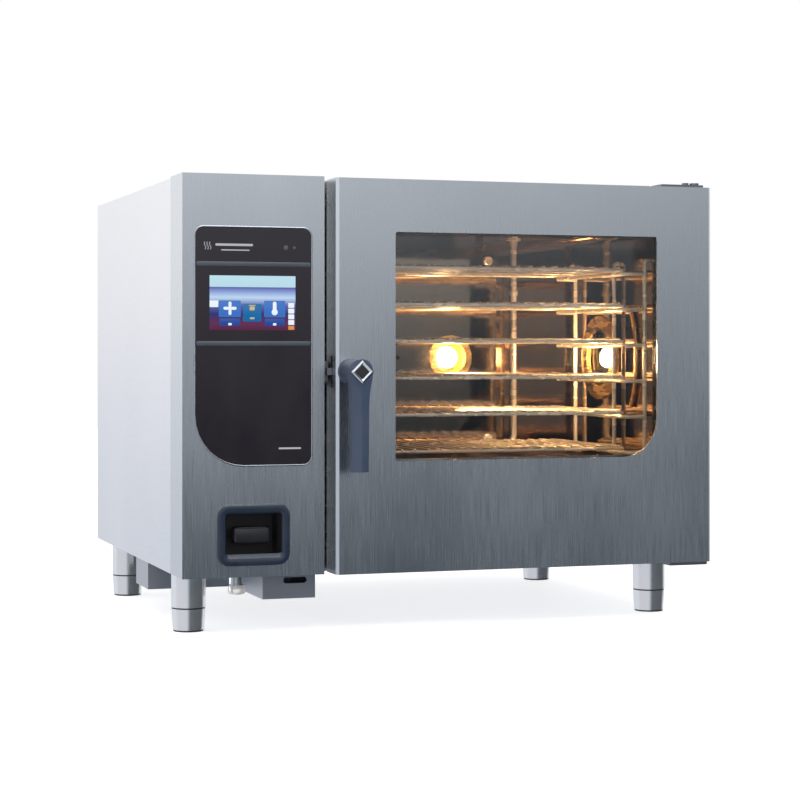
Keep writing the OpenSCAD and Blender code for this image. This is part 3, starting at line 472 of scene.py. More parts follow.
for slot, colour, rough, pores, depth, coat in (
        ("seal_rubber", (0.030, 0.026, 0.024), 0.55, 900.0, 0.00005, 0.0),
        ("heater_tube", (0.13, 0.12, 0.115), 0.50, 400.0, 0.0001, 0.0),
        ("motor_paint", (0.20, 0.25, 0.30), 0.42, 350.0, 0.0002, 0.2),
        ("panel_rib", (0.042, 0.052, 0.066), 0.45, 1500.0, 0.00003, 0.0),
        ("display_case", (0.05, 0.06, 0.08), 0.5, 1500.0, 0.00004, 0.0),
        ("board_green", (0.02, 0.12, 0.05), 0.35, 500.0, 0.0001, 0.2),
        ("contactor_plastic", (0.06, 0.065, 0.07), 0.5, 1200.0, 0.00004, 0.0),
        ("bezel_plastic", (0.010, 0.018, 0.034), 0.30, 1800.0, 0.00003, 0.1),
        ("recess_plastic", (0.016, 0.014, 0.016), 0.45, 1500.0, 0.00004, 0.0),
        ("gland_plastic", (0.02, 0.02, 0.022), 0.5, 1500.0, 0.00005, 0.0),
        ("grip_plastic", (0.013, 0.013, 0.016), 0.32, 1500.0, 0.00004, 0.1),
        ("handle_plastic", (0.030, 0.044, 0.078), 0.34, 1600.0, 0.00004, 0.15)):
    materials[slot] = moulded(slot, colour, rough, pores, depth, coat)
print("materials with plastics", len(materials))


# %% Wool and floor finishes
def wool_finish():
    """Mineral wool: yellow fibres in a loose mat."""
    made, tree, shader = finish("mineral_wool", (0.52, 0.44, 0.20), rough=0.95, Sheen_Weight=0.4)
    fibre = grain(tree, (180.0, 180.0, 900.0), 1.0, 6.0)
    tree.links.new(tint(tree, fibre, (0.36, 0.29, 0.12), (0.66, 0.58, 0.32)),
                   shader.inputs["Base Color"])
    relief(tree, shader, fibre, 0.8, 0.001)
    return made


materials["mineral_wool"] = wool_finish()
floor_finish, floor_tree, floor_shader = finish("pale_floor", (0.60, 0.60, 0.61), rough=0.7,
                                              Emission_Strength=0.7)
floor_shader.inputs["Emission Color"].default_value = WHITE
floor_tree.links.new(tint(floor_tree, grain(floor_tree, (2.0, 2.0, 2.0)),
                          (0.58, 0.58, 0.59), (0.62, 0.62, 0.63)),
                     floor_shader.inputs["Base Color"])
floor.data.materials.append(floor_finish)
print("materials", len(materials))

# %% [markdown]
# ## Dress the fixed parts
# The record says which finish each part has, so one loop dresses them all.

# %% Assign finishes to the frame
for part in frame["record"]["subparts"]:
    mesh = frame["nodes"][part["node"]].data
    mesh.materials.clear()
    mesh.materials.append(materials[part["material_slot"]])
# The drain and filter boxes take the darker shaded_steel in place of their casing steel: painted shade where the
# oven's shadow falls on them.
for node, name in (("drain_box", "shaded_steel"), ("filter_box", "shaded_steel"),
                   ("face_frame", "frame_steel"), ("door_inner", "frame_steel")):
    frame["nodes"][node].data.materials[0] = materials[name]

# %% [markdown]
# ## Shape helpers
# Most new pieces are one of three things: a stack of rounded outlines joined like the rings of a
# basket, a profile spun round an axis, or a wire swept along a path. Each gets one function.
# Pieces are drawn as a fitter would measure them, in millimetres from the casing's left front
# corner on the floor: x to the right, y to the back, z up. One matrix then takes a finished piece
# into the frame.

# %% From millimetres to the frame
fascia_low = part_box("control_fascia")[0]
TO_FRAME = Matrix.Translation((fascia_low.x, fascia_low.y, 0.0)) @ Matrix.Scale(0.001, 4)
TO_MM = TO_FRAME.inverted()


def box_mm(node):
    """The box of a CAD node in millimetres from the casing's corner."""
    low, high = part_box(node)
    return TO_MM @ low, TO_MM @ high


print("casing corner", [round(v, 4) for v in TO_FRAME.to_translation()])

# %% Outlines
def rounded(low, high, radii, steps=8):
    """Points of a rectangle with a radius at each corner: low left, low right, high right,
    high left. The points are (across, up) pairs in order."""
    (x0, z0), (x1, z1) = low, high
    centres = ((x0, z0, 1, 1, 180), (x1, z0, -1, 1, 270), (x1, z1, -1, -1, 0), (x0, z1, 1, -1, 90))
    points = []
    for (x, z, sx, sz, start), r in zip(centres, radii):
        for k in range(steps + 1):
            a = math.radians(start + 90 * k / steps)
            points.append((x + sx * r + r * math.cos(a), z + sz * r + r * math.sin(a)))
    return points


def bigger(low, high, radii, g):
    """The same outline grown by g all round."""
    return ((low[0] - g, low[1] - g), (high[0] + g, high[1] + g), [max(r + g, 0.1) for r in radii])


def stood(shape, y):
    """An (across, up) outline stood upright at depth y."""
    return [Vector((x, y, z)) for x, z in shape]


def frame_ring(low, high, radii, profile):
    """A border swept round an outline; profile is its section as (growth, depth) pairs."""
    rings = [stood(rounded(*bigger(low, high, radii, g)), y) for g, y in profile]
    return loft(rings, closed=True)


def plate(low, high, radii, profile):
    """A plate whose edge follows a profile of (growth, depth) pairs, closed at both ends."""
    rings = [stood(rounded(*bigger(low, high, radii, g)), y) for g, y in profile]
    return loft(rings, closed=False)


print("outline points", len(rounded((0, 0), (10, 10), (2,) * 4)))

# %% [markdown]
# Rings of equal length join into a skin, as staves join into a barrel. A turned part is the same
# thing, with each ring a circle.

# %% Skins from rings
def loft(rings, closed):
    """Joins rings of equal length; closed joins the last to the first, else both are capped."""
    mesh = bmesh.new()
    loops = [[mesh.verts.new(p) for p in ring] for ring in rings]
    pairs = list(zip(loops, loops[1:]))
    if closed:
        pairs.append((loops[-1], loops[0]))
    for a, b in pairs:
        for i in range(len(a)):
            j = (i + 1) % len(a)
            mesh.faces.new((a[i], a[j], b[j], b[i]))
    if not closed:
        mesh.faces.new(list(reversed(loops[0])))
        mesh.faces.new(loops[-1])
    bmesh.ops.recalc_face_normals(mesh, faces=mesh.faces)
    return mesh


def spin(profile, centre, axis, steps=64):
    """Spins a closed (radius, along) profile round an axis through centre."""
    axis = Vector(axis).normalized()
    side = axis.orthogonal().normalized()
    other = axis.cross(side)
    rings = []
    for r, along in profile:
        rings.append([Vector(centre) + axis * along + r * (math.cos(2 * math.pi * k / steps) * side
                      + math.sin(2 * math.pi * k / steps) * other) for k in range(steps)])
    return loft(rings, closed=True)


print("ring tools ready")

# %% [markdown]
# Bent bar is a circle carried along a path. Its corners are rounded first, as a bending tool
# would leave them.

# %% Bent bar
def wire(path, radius, sides=10, closed=False):
    """Sweeps a round bar along a path of points, with flat ends or closed into a loop."""
    path = [Vector(p) for p in path]
    rings = []
    last = len(path) - 1
    across = Vector((0, 0, 1)) if closed else (path[1] - path[0]).orthogonal().normalized()
    for i, point in enumerate(path):
        before = path[i - 1] if closed or i > 0 else point
        after = path[(i + 1) % len(path)] if closed or i < last else point
        ahead = (after - before).normalized()
        across = (across - ahead * across.dot(ahead)).normalized()
        up = ahead.cross(across)
        rings.append([point + radius * (math.cos(2 * math.pi * k / sides) * across
                      + math.sin(2 * math.pi * k / sides) * up) for k in range(sides)])
    return loft(rings, closed=closed)


def bend(points, radius, steps=5, closed=False):
    """Rounds the corners of a path of points."""
    points = [Vector(p) for p in points]
    path = [] if closed else [points[0]]
    if closed:
        points = [points[-1], *points, points[0]]
    for before, corner, after in zip(points, points[1:], points[2:]):
        start = corner + (before - corner).normalized() * radius
        stop = corner + (after - corner).normalized() * radius
        for k in range(steps + 1):
            t = k / steps
            path.append((1 - t) ** 2 * start + 2 * t * (1 - t) * corner + t ** 2 * stop)
    if not closed:
        path.append(points[-1])
    return path


print("bar tools ready")

# %% [markdown]
# A finished piece gets smooth faces with sharp edges where they turn fast, its material, and the
# body that it moves with. A piece that replaces a plain solid hides it.

# %% Finished pieces
def joined(meshes):
    """Puts several meshes into one."""
    whole = bmesh.new()
    for part in meshes:
        scratch = bpy.data.meshes.new("scratch")
        part.to_mesh(scratch)
        part.free()
        whole.from_mesh(scratch)
        bpy.data.meshes.remove(scratch)
    return whole


def piece(name, shape, slot, body, replaces=(), sharp=35.0, material=None):
    """Turns a mesh drawn in millimetres into a finished piece that rides on a body."""
    shape.transform(TO_FRAME)
    data = bpy.data.meshes.new(name)
    shape.to_mesh(data)
    shape.free()
    for face in data.polygons:
        face.use_smooth = True
    data.set_sharp_from_angle(angle=math.radians(sharp))
    made = bpy.data.objects.new(name, data)
    bpy.context.scene.collection.objects.link(made)
    data.materials.append(material or materials[slot])
    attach(made, body)
    if replaces:
        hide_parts(*replaces)
    return made


print("shape helpers ready")

# %% [markdown]
# ## Bead and ribs of the control panel
# A bright bead holds the glass, and two satin ribs divide it into three fields. Both are thin
# rolled profiles, so a flat strip would look like tape. The bead is a border whose section is a
# low arch; each rib is a half-round bar that gets thinner at its ends.

# %% Panel bead
glass_low, glass_high = box_mm("control_glass")
GLASS = ((glass_low.x, glass_low.z), (glass_high.x, glass_high.z), (85.0, 14.0, 14.0, 14.0))
glass_face = glass_low.y
bead = frame_ring(*GLASS, ((0.3, -0.1), (0.3, -1.3), (0.8, -1.75), (1.7, -1.8), (2.5, -1.6),
                           (3.0, -0.9), (3.0, -0.1)))
piece("panel_bead", bead, "bright_trim", "cabinet", replaces=["control_trim"],
      material=materials["bead_steel"], sharp=60)
glass_size = glass_high - glass_low
print("glass", round(glass_size.x, 1), "by", round(glass_size.z, 1), "mm")


# %% Panel ribs
RIB_HALF_H, RIB_PROUD, RIB_TAPER = 4.0, 1.75, 2.5


def half_round(x0, x1, z, back):
    """A half-round bar along x that tapers at both ends."""
    rings = []
    angles = [math.radians(-90 + 18 * k) for k in range(11)]
    for x, s in ((x0, 0.35), (x0 + RIB_TAPER / 2, 0.85), (x0 + RIB_TAPER, 1.0),
                 (x1 - RIB_TAPER, 1.0), (x1 - RIB_TAPER / 2, 0.85), (x1, 0.35)):
        rings.append([Vector((x, back - RIB_PROUD * s * math.cos(a),
                              z + RIB_HALF_H * s * math.sin(a))) for a in angles])
    return loft(rings, closed=False)


rib_low, rib_high = box_mm("panel_ribs")
rib_levels = (rib_low.z + RIB_HALF_H, rib_high.z - RIB_HALF_H)
ribs = joined([half_round(rib_low.x + 0.4, rib_high.x - 0.4, z, rib_high.y - 0.05)
               for z in rib_levels])
piece("rolled_ribs", ribs, "panel_rib", "cabinet", replaces=["panel_ribs"], sharp=60)
print("ribs at", [round(z) for z in rib_levels], "mm")

# %% [markdown]
# ## What the screen shows
# The screen lies behind the glass and is bonded to it, so its picture seems to lie right at the
# surface. Each field of the picture is a film a tenth of a millimetre thick with its own glow: a
# pale title bar, a sky that fades from blue to plum, three tiles with plain pictograms, and a
# column of settings with an amber key. Nothing is written on it.

# %% Glow finishes
def glow(name, colour, strength=1.0, tones=None, span=None):
    """A lit film; with tones and span its colour runs through the tones over a height."""
    made, tree, shader = finish(name, (0.0, 0.0, 0.0), rough=0.25, Emission_Strength=strength)
    shader.inputs["Emission Color"].default_value = (*colour, 1.0)
    if tones is None:
        dots = grain(tree, (2600.0, 2600.0, 2600.0), 1.0, 1.0)
        tree.links.new(tint(tree, dots, shade(colour, 0.93), colour),
                       shader.inputs["Emission Color"])
        return made
    ramp = tree.nodes.new("ShaderNodeValToRGB")
    for i, (step, tone) in enumerate(tones):
        stop = ramp.color_ramp.elements[i] if i < 2 else ramp.color_ramp.elements.new(step)
        stop.position = step
        stop.color = (*tone, 1.0)
    tree.links.new(spread(tree, height(tree), 0.0, 1.0, *span), ramp.inputs["Fac"])
    tree.links.new(ramp.outputs["Color"], shader.inputs["Emission Color"])
    return made


print("glow finish ready")

# %% Colours of the screen
SCREEN_X = (glass_low.x + 24.0, glass_low.x + 175.5)
SCREEN_Z = (glass_low.z + 230.6, glass_low.z + 324.0)
SKY_TONES = ((0.0, (0.09, 0.02, 0.06)), (0.12, (0.12, 0.03, 0.09)), (0.30, (0.03, 0.035, 0.16)),
             (0.46, (0.10, 0.13, 0.40)), (0.60, (0.50, 0.66, 0.86)), (0.70, (0.24, 0.34, 0.66)),
             (0.79, (0.07, 0.08, 0.34)), (0.80, (0.02, 0.02, 0.06)))
sky = glow("screen_sky", (0.2, 0.2, 0.5), tones=SKY_TONES,
           span=(SCREEN_Z[0] / 1000, SCREEN_Z[1] / 1000))
glows = {
    "sky": sky,
    "title": glow("screen_title", (0.50, 0.74, 0.84)),
    "tile": glow("screen_tile", (0.045, 0.17, 0.55)),
    "deep": glow("screen_deep", (0.015, 0.07, 0.33)),
    "teal": glow("screen_teal", (0.01, 0.14, 0.38)),
    "white": glow("screen_white", (0.86, 0.92, 0.98)),
    "gold": glow("screen_gold", (0.60, 0.50, 0.22)),
    "amber": glow("screen_amber", (0.72, 0.30, 0.07)),
    # The print gives no light of its own: its glow is painted light that keeps it pale.
    "print": glow("panel_print_painted_glow", (0.52, 0.52, 0.55), 0.9),
    "faint": glow("faint_print_painted_glow", (0.10, 0.10, 0.11), 0.9),
}
print("screen", SCREEN_X, SCREEN_Z)


# %% Screen fields
def film(low, high, r, layer):
    """A thin film on the glass; each layer lies in front of the last."""
    back = glass_face - 0.03 - 0.06 * layer
    return plate(low, high, (r,) * 4, ((0.0, back), (0.0, back - 0.03), (-0.05, back - 0.05)))


def on_screen(u, v):
    """A point of the screen from shares of its width and height."""
    return (SCREEN_X[0] + u * (SCREEN_X[1] - SCREEN_X[0]),
            SCREEN_Z[0] + v * (SCREEN_Z[1] - SCREEN_Z[0]))


def field(u0, v0, u1, v1, r, layer):
    """A film between two points of the screen."""
    return film(on_screen(u0, v0), on_screen(u1, v1), r, layer)


fields = {
    "sky": [field(0.0, 0.0, 1.0, 1.0, 1.0, 0)],
    "title": [field(0.0, 0.79, 1.0, 1.0, 1.0, 1)],
    "tile": [field(0.105, 0.24, 0.36, 0.545, 2.0, 2), field(0.63, 0.24, 0.88, 0.545, 2.0, 2)],
    "deep": [field(0.115, 0.085, 0.35, 0.215, 1.5, 2), field(0.64, 0.085, 0.87, 0.215, 1.5, 2)],
    "teal": [field(0.385, 0.16, 0.60, 0.485, 2.0, 2)],
    "white": [field(0.0, 0.42, 0.10, 0.54, 0.8, 2)]
             + [field(0.915, 0.10 + 0.105 * k, 0.985, 0.19 + 0.105 * k, 0.8, 2) for k in range(4)],
    "amber": [field(0.915, 0.01, 0.985, 0.08, 0.8, 2)],
}
for key, films in fields.items():
    piece("screen_" + key, joined(films), "display_case", "cabinet", material=glows[key])
print("screen finishes", len(fields))

# %% [markdown]
# ## Pictograms
# The tiles carry plain signs that any cook can read: a fan for hot air, a pot, and a thermometer.
# The printed field above the screen has three curls of steam beside two bars. Each sign is built
# from films and from thin wires laid on the glass.

# %% Pictograms on the tiles
def disc(u, v, r, layer):
    """A round film on the screen."""
    x, z = on_screen(u, v)
    return film((x - r, z - r), (x + r, z + r), r - 0.1, layer)


def slab(u, v, w, h, r, layer):
    """A film of a size in millimetres round a point of the screen."""
    x, z = on_screen(u, v)
    return film((x - w / 2, z - h / 2), (x + w / 2, z + h / 2), r, layer)


def blade_film(u, v, turn, layer):
    """One fan blade: a film drawn upright and turned round the hub."""
    x, z = on_screen(u, v)
    blade = film((-2.6, 1.5), (2.6, 11.5), 2.5, layer)
    blade.transform(Matrix.Translation((x, 0, z)) @ Matrix.Rotation(math.radians(turn), 4, "Y"))
    return blade


fan_sign = [blade_film(0.235, 0.40, turn, 3) for turn in (0, 90, 180, 270)]
fan_sign.append(disc(0.235, 0.40, 3.2, 4))
thermometer = [slab(0.755, 0.42, 6.5, 20.0, 3.2, 3), disc(0.755, 0.335, 5.4, 4)]
echo_signs = [slab(0.235, 0.11, 6.0, 4.0, 1.0, 3), slab(0.755, 0.11, 6.0, 4.0, 1.0, 3)]
piece("white_signs", joined(fan_sign + thermometer + echo_signs), "display_case", "cabinet",
      material=glows["white"])
pot_sign = [slab(0.4925, 0.40, 9.0, 6.5, 1.5, 3), slab(0.4925, 0.455, 12.0, 1.6, 0.7, 3),
            slab(0.4925, 0.22, 8.0, 3.0, 1.0, 3)]
piece("gold_signs", joined(pot_sign), "display_case", "cabinet", material=glows["gold"])
print("signs", len(fan_sign), "+", len(thermometer), "+", len(pot_sign))


# %% Print above and below the screen
def curl(x, z, tall):
    """One curl of steam as a thin wire on the glass."""
    path = [(x + 1.4 * math.sin(t * 2 * math.pi), glass_face - 0.1, z + tall * t)
            for t in (k / 12 for k in range(13))]
    return wire(path, 0.55, 6)


print_x, print_z = glass_low.x + 16.0, glass_high.z - 33.0
steam_sign = [curl(print_x + 4.5 * k, print_z - 5.0, 13.0) for k in range(3)]
bars = [film((print_x + 18, print_z + 1.5), (print_x + 84, print_z + 5.5), 1.9, 0),
        film((print_x + 28, print_z - 6.5), (print_x + 78, print_z - 4.5), 0.9, 0)]
foot_x, foot_z = glass_high.x - 58.0, glass_low.z + 26.0
bars.append(film((foot_x, foot_z), (foot_x + 40, foot_z + 3.0), 1.4, 0))
# The printed marks glow: their pale grey is painted light, not lit ink.
piece("panel_print_painted_glow", joined(steam_sign + bars), "panel_glass", "cabinet", material=glows["print"])
# The faint status signs glow too: their grey is painted light.
status = [film((x - r, print_z - r), (x + r, print_z + r), r - 0.1, 0)
          for x, r in ((glass_high.x - 45.0, 4.0), (glass_high.x - 30.0, 2.4))]
piece("status_signs", joined(status), "panel_glass", "cabinet", material=glows["faint"])
print("print", len(steam_sign) + len(bars), "films")

# %% [markdown]
# ## Border and grip of the hand shower
# The recess has a moulded border that rises from the fascia, runs flat and then slopes into the
# hole. The slope catches the light along its lower and right sides, so it is modelled as real
# surface. The grip is a pillow with soft edges, a hollow for the fingertips above it, and a
# spiral hose behind.

# %% Shower border
cup_low, cup_high = box_mm("shower_cup")
wall = 1.7
RECESS = ((cup_low.x + wall, cup_low.z + wall), (cup_high.x - wall, cup_high.z - wall), (6.0,) * 4)
MOUTH_LIFT, MOUTH_DROP = 5.5, 1.5
LIP = ((RECESS[0][0] + 0.3, RECESS[0][1] + MOUTH_LIFT),
       (RECESS[1][0] - 0.3, RECESS[1][1] - MOUTH_DROP), (5.0,) * 4)
inner = [stood(rounded(*LIP), y) for y in (-0.1, -0.9)]
outer = [stood(rounded(*bigger(*RECESS, g)), y)
         for g, y in ((1.4, -4.2), (2.4, -4.9), (11.5, -4.9), (13.4, -4.2), (14.5, -2.2),
                      (14.5, -0.1))]
border = loft(inner + outer, closed=True)
piece("shower_border", border, "bezel_plastic", "cabinet", replaces=["shower_bezel"], sharp=50)
print("recess", [round(v, 1) for v in RECESS[0]], [round(v, 1) for v in RECESS[1]])

# %% Shower grip and hose
head_low, head_high = box_mm("shower_head")
recess_mid_x = (RECESS[0][0] + RECESS[1][0]) / 2
recess_mid_z = (RECESS[0][1] + RECESS[1][1]) / 2
GRIP = ((recess_mid_x - 32, recess_mid_z - 17), (recess_mid_x + 35, recess_mid_z + 13), (7.0,) * 4)
grip = plate(*GRIP, ((-5.0, head_low.y + 0.3), (-2.4, head_low.y + 1.2), (-0.6, head_low.y + 3.6),
                     (0.0, head_low.y + 7.0), (0.0, head_low.y + 13.0), (-1.4, head_low.y + 16.6),
                     (-4.0, head_low.y + 18.0)))
lip = wire(bend([(GRIP[0][0] + 4, head_low.y + 3.2, GRIP[1][1] - 5.5),
                 (GRIP[0][0] + 9, head_low.y + 1.0, GRIP[1][1] - 2.2),
                 (GRIP[1][0] - 9, head_low.y + 1.0, GRIP[1][1] - 2.2),
                 (GRIP[1][0] - 4, head_low.y + 3.2, GRIP[1][1] - 5.5)], 3.0), 1.5, 8)
hose_start, hose_stop, hose_step = head_low.y + 17.0, head_high.y, 3.0
coils = int((hose_stop - hose_start) / hose_step)
hose_profile = [(0.1, hose_start)]
for k in range(coils):
    hose_profile += [(7.1, hose_start + hose_step * k), (8.0, hose_start + hose_step * (k + 0.5))]
hose_profile += [(7.1, hose_start + hose_step * coils), (0.1, hose_start + hose_step * coils)]
hose = spin(hose_profile, (recess_mid_x, 0, recess_mid_z), (0, 1, 0), 24)
piece("shower_grip", joined([grip, lip, hose]), "grip_plastic", "shower", replaces=["shower_head"],
      sharp=50)
print("hose ribs", coils)

# %% [markdown]
# ## Handle
# The lever hangs from a round neck. Its front is a ridge with two flat facets that widen out of
# the round head, and its lower end is cut flat. Stacking level sections does this well: each one
# has the same fourteen points, and only its width and the slope of its facets change with height.

# %% Lever
grip_low, grip_high = box_mm("handle_grip")
handle_x = (grip_low.x + grip_high.x) / 2
turn_joint = next(joint for joint in frame["joints"] if joint["name"] == "handle_turn")
axis_z = (TO_MM @ Vector(turn_joint["pos_m"])).z
lever_front, lever_back = grip_low.y, grip_low.y + 25.0
SECTIONS = (  # height from the axis, half width, depth of the facets, drop of the back
    (21.4, 4.0, 3.6, 4.0), (20.4, 9.0, 2.6, 2.0), (17.0, 14.2, 2.0, 0.8), (11.0, 18.6, 1.6, 0.2),
    (3.0, 20.8, 1.6, 0.0), (-8.0, 20.2, 2.6, 0.0), (-20.0, 18.8, 5.4, 0.0),
    (-38.0, 17.2, 9.4, 0.0), (-62.0, 16.5, 11.0, 0.0), (-120.0, 15.9, 11.0, 0.0),
    (-168.0, 15.5, 11.0, 0.0), (-170.2, 15.2, 10.8, 0.3), (-171.0, 14.0, 10.2, 1.2))


def lever_section(drop, half, slope, inset):
    """One level section of the lever, anticlockwise from the left back."""
    y0, y1, z = lever_front, lever_back - inset, axis_z + drop
    side = min(slope + 1.6, y1 - y0 - 6.0)
    soft = (1.0 - 1.6 / half) * slope
    right = [(1.5, 0.05 * slope), (half - 1.6, soft), (half - 0.3, slope + 0.5), (half, side + 0.8)]
    points = [(x, y0 + d) for x, d in right]
    points += [(half, y1 - 4.0), (half - 1.2, y1 - 1.2), (half - 4.0, y1)]
    mirrored = [(-x, y) for x, y in reversed(points)]
    return [Vector((handle_x + x, y, z)) for x, y in points + mirrored]


lever = loft([lever_section(*row) for row in SECTIONS], closed=False)
door_face = box_mm("door_skin")[0].y
neck = spin([(0.1, door_face - 0.5), (22.5, door_face - 0.5), (22.5, door_face - 2.0),
             (20.6, door_face - 4.5), (20.0, door_face - 9.0), (20.0, lever_back - 2.0),
             (0.1, lever_back - 2.0)], (handle_x, 0, axis_z), (0, 1, 0), 48)
piece("lever", joined([lever, neck]), "handle_plastic", "handle", replaces=["handle_grip"],
      sharp=24)
print("lever sections", len(SECTIONS))


# %% Diamond on the lever
def diamond(reach, y):
    """A rounded square on its corner, its points at reach from the axis."""
    r, slant = 0.8, math.sqrt(2)
    a = reach / slant + r * (slant - 1)
    return [Vector((handle_x + (x - z) / slant, y, axis_z + (x + z) / slant))
            for x, z in rounded((-a, -a), (a, a), (r,) * 4, 3)]


badge_face = box_mm("handle_badge")[0].y
badge = loft([diamond(19.6, lever_front + 1.5), diamond(19.6, badge_face + 2.2),
              diamond(17.6, badge_face + 0.2), diamond(15.6, badge_face),
              diamond(12.2, badge_face + 2.6), diamond(12.2, lever_front + 1.5)], closed=True)
piece("badge_frame", badge, "bright_trim", "handle", replaces=["handle_badge"], sharp=25)
stone = loft([diamond(12.0, lever_front + 0.6), diamond(12.0, badge_face + 3.0),
              diamond(10.6, badge_face + 2.4)], closed=False)
piece("badge_stone", stone, "grip_plastic", "handle", sharp=25)
print("badge reach 19.6 mm")

# %% [markdown]
# ## Door gasket
# A hollow rubber profile runs round the mouth of the chamber: a flat foot on the frame, a bulb
# that the door presses, and a thin lip on the outside. It is a border with a shaped section.

# %% Gasket
liner_low, liner_high = box_mm("cavity_liner")
LINER = 1.5
MOUTH = ((liner_low.x + LINER, liner_low.z + LINER), (liner_high.x - LINER, liner_high.z - LINER),
         (18.0,) * 4)
seal_low, seal_high = box_mm("door_seal")
front, back = seal_low.y, seal_high.y
gasket = frame_ring(*MOUTH, ((3.2, back - 0.1), (3.0, back - 2.0), (4.2, back - 4.0),
                             (3.4, front + 3.5), (4.8, front + 1.0), (7.0, front),
                             (9.4, front + 0.8), (10.6, front + 3.2), (9.6, front + 5.6),
                             (12.6, front + 6.2), (15.0, front + 4.0), (14.6, front + 8.0),
                             (13.4, back - 0.1)))
piece("door_gasket", gasket, "seal_rubber", "cabinet", replaces=["door_seal"], sharp=45)
print("mouth", [round(v, 1) for v in MOUTH[0]], [round(v, 1) for v in MOUTH[1]])

# %% [markdown]
# ## Wire shelves
# A shelf is a loop of round bar with thinner wires welded across its top. Their ends turn down
# over the front bar and show as a row of bright knobs. All six shelves are alike, so one function
# draws a shelf at the height of its CAD node.

# %% Shelves
RIM_UP = 3.5


def wire_shelf(node):
    """A wire shelf in the box of its CAD node."""
    low, high = box_mm(node)
    rim, cross = 3.0, 1.8
    z = low.z + RIM_UP
    x0, x1 = low.x + rim, high.x - rim
    y0, y1 = low.y + 1.0 + rim, high.y - 1.0 - rim
    parts = [wire(bend([(x0, y0, z), (x1, y0, z), (x1, y1, z), (x0, y1, z)], 9.0, 5, closed=True),
                  rim, 12, closed=True)]
    count, pitch = 20, 25.2
    first = (x0 + x1 - count * pitch) / 2
    top = z + rim + cross - 0.5
    for k in range(count + 1):
        x = first + pitch * k
        path = [(x, y0 - rim - 0.6, z + 0.6), (x, y0 - rim, z + rim), (x, y0 - 1.5, top),
                (x, y0 + 4.0, top), (x, y1 - 4.0, top), (x, y1 + 1.5, top),
                (x, y1 + rim, z + rim), (x, y1 + rim + 0.6, z + 0.6)]
        parts.append(wire(path, cross, 8))
    for share in (0.34, 0.67):
        y = y0 + share * (y1 - y0)
        parts.append(wire([(x0, y, z + 0.3), (x1, y, z + 0.3)], 2.2, 8))
    return joined(parts)


SHELVES = [f"shelf_{number}" for number in range(1, 7)]
for node in SHELVES:
    piece("wire_" + node, wire_shelf(node), "wire_steel", node, replaces=[node], sharp=50)
print("shelves", len(SHELVES))

# %% [markdown]
# ## Racks
# The shelves hang in racks of bent round bar, one at each end of the chamber. Each upright is
# bent at both ends to hook into the wall, and each rail is a long flat hook round the uprights.

# %% Racks
shelf_mid = [box_mm(node)[0].z + RIM_UP for node in SHELVES]


def wire_rack(wall_x, side, ys):
    """A rack on the wall at wall_x; side is +1 when the wall is to the right."""
    upright_x, rail_x = wall_x - side * 10.0, wall_x - side * 51.0
    low_z, high_z = liner_low.z + LINER + 24.0, shelf_mid[-1] + 18.0
    parts = []
    for y in ys:
        hook = [(wall_x - side * 0.5, y, low_z), (upright_x, y, low_z),
                (upright_x, y, high_z), (wall_x - side * 0.5, y, high_z)]
        parts.append(wire(bend(hook, 7.0), 4.0, 12))
    for z in (level - 7.3 for level in shelf_mid):
        rail = [(upright_x, ys[0], z), (rail_x, ys[0], z), (rail_x, ys[-1], z),
                (upright_x, ys[-1], z)]
        parts.append(wire(bend(rail, 9.0), 3.5, 10))
        parts.append(wire([(upright_x, ys[1], z), (rail_x, ys[1], z)], 2.5, 8))
    return joined(parts)


rack_low, rack_high = box_mm("rack_right")
rack_ys = (rack_low.y + 6.0, rack_low.y + 143.0, rack_high.y - 6.0)
piece("bent_rack_left", wire_rack(MOUTH[0][0], -1, rack_ys), "wire_steel", "cabinet",
      replaces=["rack_left"], sharp=50)
piece("bent_rack_right", wire_rack(MOUTH[1][0], 1, rack_ys), "wire_steel", "cabinet",
      replaces=["rack_right"], sharp=50)
print("rack uprights at", [round(y) for y in rack_ys])

# %% [markdown]
# ## Lamps
# Two halogen bulbs sit in bright pots behind flat glass, one in the right wall and one in the
# guide plate. The bulb is drawn with its neck and socket. It glows white, and a small warm light
# in front of each lamp sends light out over the polished walls. The orange-gold of the pots,
# sockets and drip bow is painted light: the bulbs' warm glow is painted into their colour.

# %% Bulbs
bulb_glow, bulb_tree, bulb_shader = finish("bulb_glow", (1.0, 0.9, 0.75), rough=0.3,
                                           Emission_Strength=30.0)
bulb_shader.inputs["Emission Color"].default_value = (1.0, 0.74, 0.42, 1.0)
frost = grain(bulb_tree, (300.0, 300.0, 300.0), 1.0, 2.0)
bulb_tree.links.new(tint(bulb_tree, frost, (1.0, 0.72, 0.40), (1.0, 0.78, 0.48)),
                    bulb_shader.inputs["Emission Color"])
BULB = ((0.1, -9.0), (5.0, -8.8), (10.0, -7.4), (14.5, -4.2), (16.5, 0.0), (15.0, 4.2),
        (10.0, 7.2), (7.0, 9.0), (0.1, 9.0))
SOCKET = ((0.1, 8.6), (9.0, 8.6), (9.0, 12.0), (11.0, 12.6), (11.0, 15.5), (0.1, 15.5))
glass_box = box_mm("lamp_glasses")
wall_x = MOUTH[1][0]
lamp_z = (glass_box[0].z + glass_box[1].z) / 2
side_lamp_y = glass_box[0].y + 57.7
plate_lamp_x = glass_box[0].x + 33.7
plate_y = box_mm("fan_baffle")[0].y
LAMPS = (("side", Vector((wall_x + 21.0, side_lamp_y, lamp_z)), Vector((1, 0, 0)), 1.75),
         ("plate", Vector((plate_lamp_x, plate_y + 16.0, lamp_z)), Vector((0, 1, 0)), 1.3))
